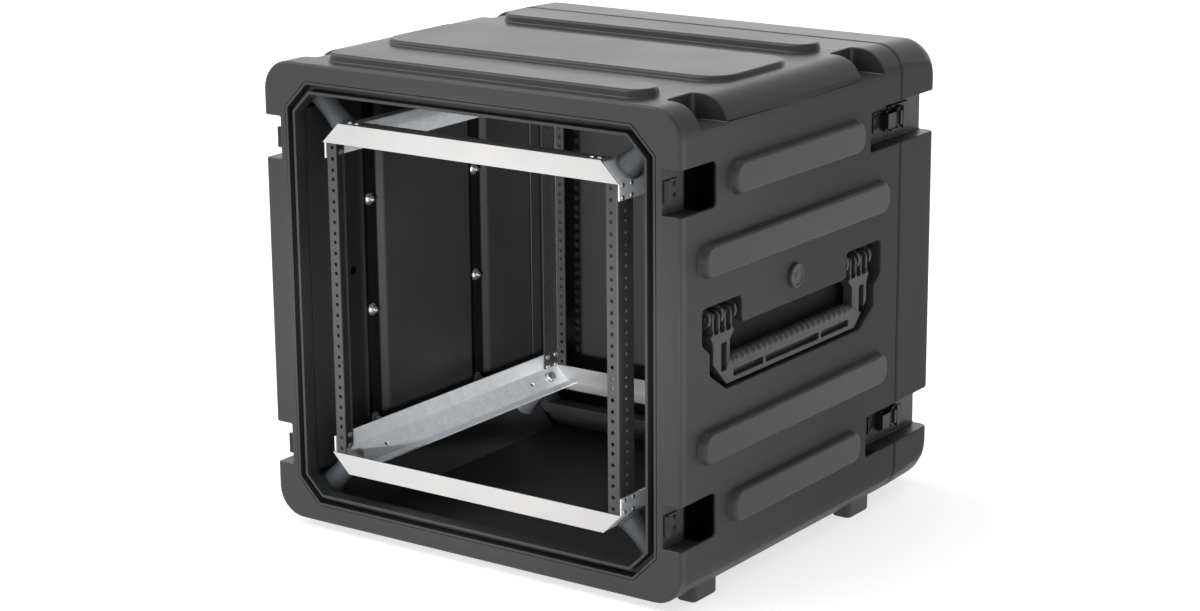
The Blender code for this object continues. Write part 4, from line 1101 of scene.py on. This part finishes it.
def dress_mounts():
    """The shock mounts, which span from the inner frame to the case."""
    for corner in CORNERS:
        level_name, side_name = corner.split("_")
        side, level = SIDES[side_name], LEVELS[level_name]
        axis = np.array((side, 0.0, level)) * math.sqrt(0.5)
        for end in ENDS:
            surface, centre, long = mount_surface(side, level, end)
            name = f"shock_mount_{corner}_{end}"
            mount = shown(f"mount_{corner}_{end}", mesh_from(name, [surface]), "mount_rubber")
            near = to_world(centre + axis * MOUNT_BLEND_INSET)
            far = to_world(centre + axis * (long - MOUNT_BLEND_INSET))
            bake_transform(mount)
            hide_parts(name)


def dress_latches():
    """The lid's latches, and the keepers with their rivets at both ends of the case."""
    for corner in CORNERS:
        for part, width in EDGE_LATCH.items():
            softened(f"latch_{part}_{corner}", "latch_steel", width)
        level_name, side_name = corner.split("_")
        side, level = SIDES[side_name], LEVELS[level_name]
        heights = [level * NOTCH_Z + up * KEEPER_RIVET_HALF_Z for up in (-1, 1)]
        for end in ENDS:
            softened(f"{end}_keeper_{corner}", "latch_steel", EDGE_KEEPER)
            places = [(side * KEEPER_TOP_X, KEEPER_RIVET_Y[end], z) for z in heights]
            rivets = [rivet_head(place, (side, 0, 0), *KEEPER_RIVET) for place in places]
            fitted(f"{end}_keeper_rivets_{corner}", rivets, "latch_steel", "case")


def pale_floor():
    """A wide pale floor: a grid that stays flat, with a faint mottling."""
    across = np.linspace(-FLOOR_HALF, FLOOR_HALF, FLOOR_LINES)
    x, y = np.meshgrid(across, across, indexing="ij")
    points, blocks = sheet_of(np.stack([x, y, np.full_like(x, -RACK_MIDDLE)], axis=-1))
    mesh = bpy.data.meshes.new("floor")
    mesh.from_pydata(to_world(points).tolist(), [], blocks[0].tolist())
    f = Finish("pale_floor")
    mottle = f.noise(1.5, 2.0)
    finish = f.surface(
        Base_Color=f.mix(mottle, grey(0.48), grey(0.52)),
        Roughness=0.9,
        Specular_IOR_Level=0.1,
        Emission_Color=f.mix(mottle, grey(0.97), grey(1.0)),
        Emission_Strength=FLOOR_GLOW,
    )
    mesh.materials.append(finish)
    floor = bpy.data.objects.new("floor", mesh)
    bpy.context.scene.collection.objects.link(floor)


def sky_patch(w, direction, patch):
    """A soft patch of the surround: a smooth step of how far a direction agrees with the patch's own."""
    aim, edges, strength = patch
    agreement = w.node("VectorMath", {"operation": "DOT_PRODUCT"}, {0: direction, 1: aim}, "Value")
    return agreement.step(*edges) * strength


def studio_light():
    """A white surround: a belt round the horizon that is brightest behind on the left and dim behind on the
    right, darker above it, and bright again overhead with a patch on the left."""
    world = bpy.data.worlds.new("studio")
    bpy.context.scene.world = world
    world.use_nodes = True
    w = Nodes(world.node_tree)
    direction = w.node("TexCoord", None, None, "Generated")
    up = w.node("SeparateXYZ", None, {"Vector": direction}, "Z")
    belt = SKY_BELT - SKY_DARK
    for patch in SKY_BELT_PATCHES:
        belt = belt + sky_patch(w, direction, patch)
    level = SKY_DARK + up.step(*SKY_BELT_TOP) * belt + up.step(*SKY_TOP_FROM) * (SKY_TOP - SKY_DARK)
    level = level + sky_patch(w, direction, SKY_OVERHEAD_PATCH)
    background = w.node("Background", None, {"Color": grey(1.0), "Strength": level})
    w.node("OutputWorld", None, {"Surface": background})


def inside_spot():
    """A soft spot from the front right that lights the inside through its opening."""
    lamp = bpy.data.lights.new("inside_spot", "SPOT")
    lamp.energy = LAMP_WATTS
    lamp.spot_size = math.radians(LAMP_CONE)
    lamp.spot_blend = LAMP_BLEND
    lamp.shadow_soft_size = LAMP_RADIUS
    spot = bpy.data.objects.new("inside_spot", lamp)
    spot.location = LAMP_AT
    spot.rotation_euler = (Vector(LAMP_AIM) - Vector(LAMP_AT)).to_track_quat("-Z", "Y").to_euler()
    bpy.context.scene.collection.objects.link(spot)


def photo_camera():
    """The camera at the photograph's angle: its axes from azimuth, elevation and roll."""
    azimuth, elevation, roll = np.radians([CAMERA_AZIMUTH, CAMERA_ELEVATION, CAMERA_ROLL])
    level_out = math.cos(elevation)
    forward = Vector((-math.sin(azimuth) * level_out, math.cos(azimuth) * level_out, -math.sin(elevation)))
    level_right = forward.cross(Vector((0, 0, 1))).normalized()
    level_up = level_right.cross(forward)
    right = level_right * math.cos(roll) + level_up * math.sin(roll)
    up = level_up * math.cos(roll) - level_right * math.sin(roll)
    data = bpy.data.cameras.new("camera")
    data.sensor_fit = "HORIZONTAL"
    data.sensor_width = CAMERA_SENSOR
    data.lens = CAMERA_LENS
    data.clip_start, data.clip_end = CAMERA_CLIP
    camera = bpy.data.objects.new("camera", data)
    turn = Matrix((right, up, -forward)).transposed().to_4x4()
    camera.matrix_world = Matrix.Translation(CAMERA_AT) @ turn
    bpy.context.scene.collection.objects.link(camera)
    bpy.context.scene.camera = camera


photo_camera()
dress_mouldings()
for side_name, side in SIDES.items():
    dress_side(side_name, side)
dress_rails()
dress_bars()
dress_mounts()
dress_latches()
pale_floor()
studio_light()
inside_spot()
bpy.context.scene.view_settings.view_transform = "Standard"
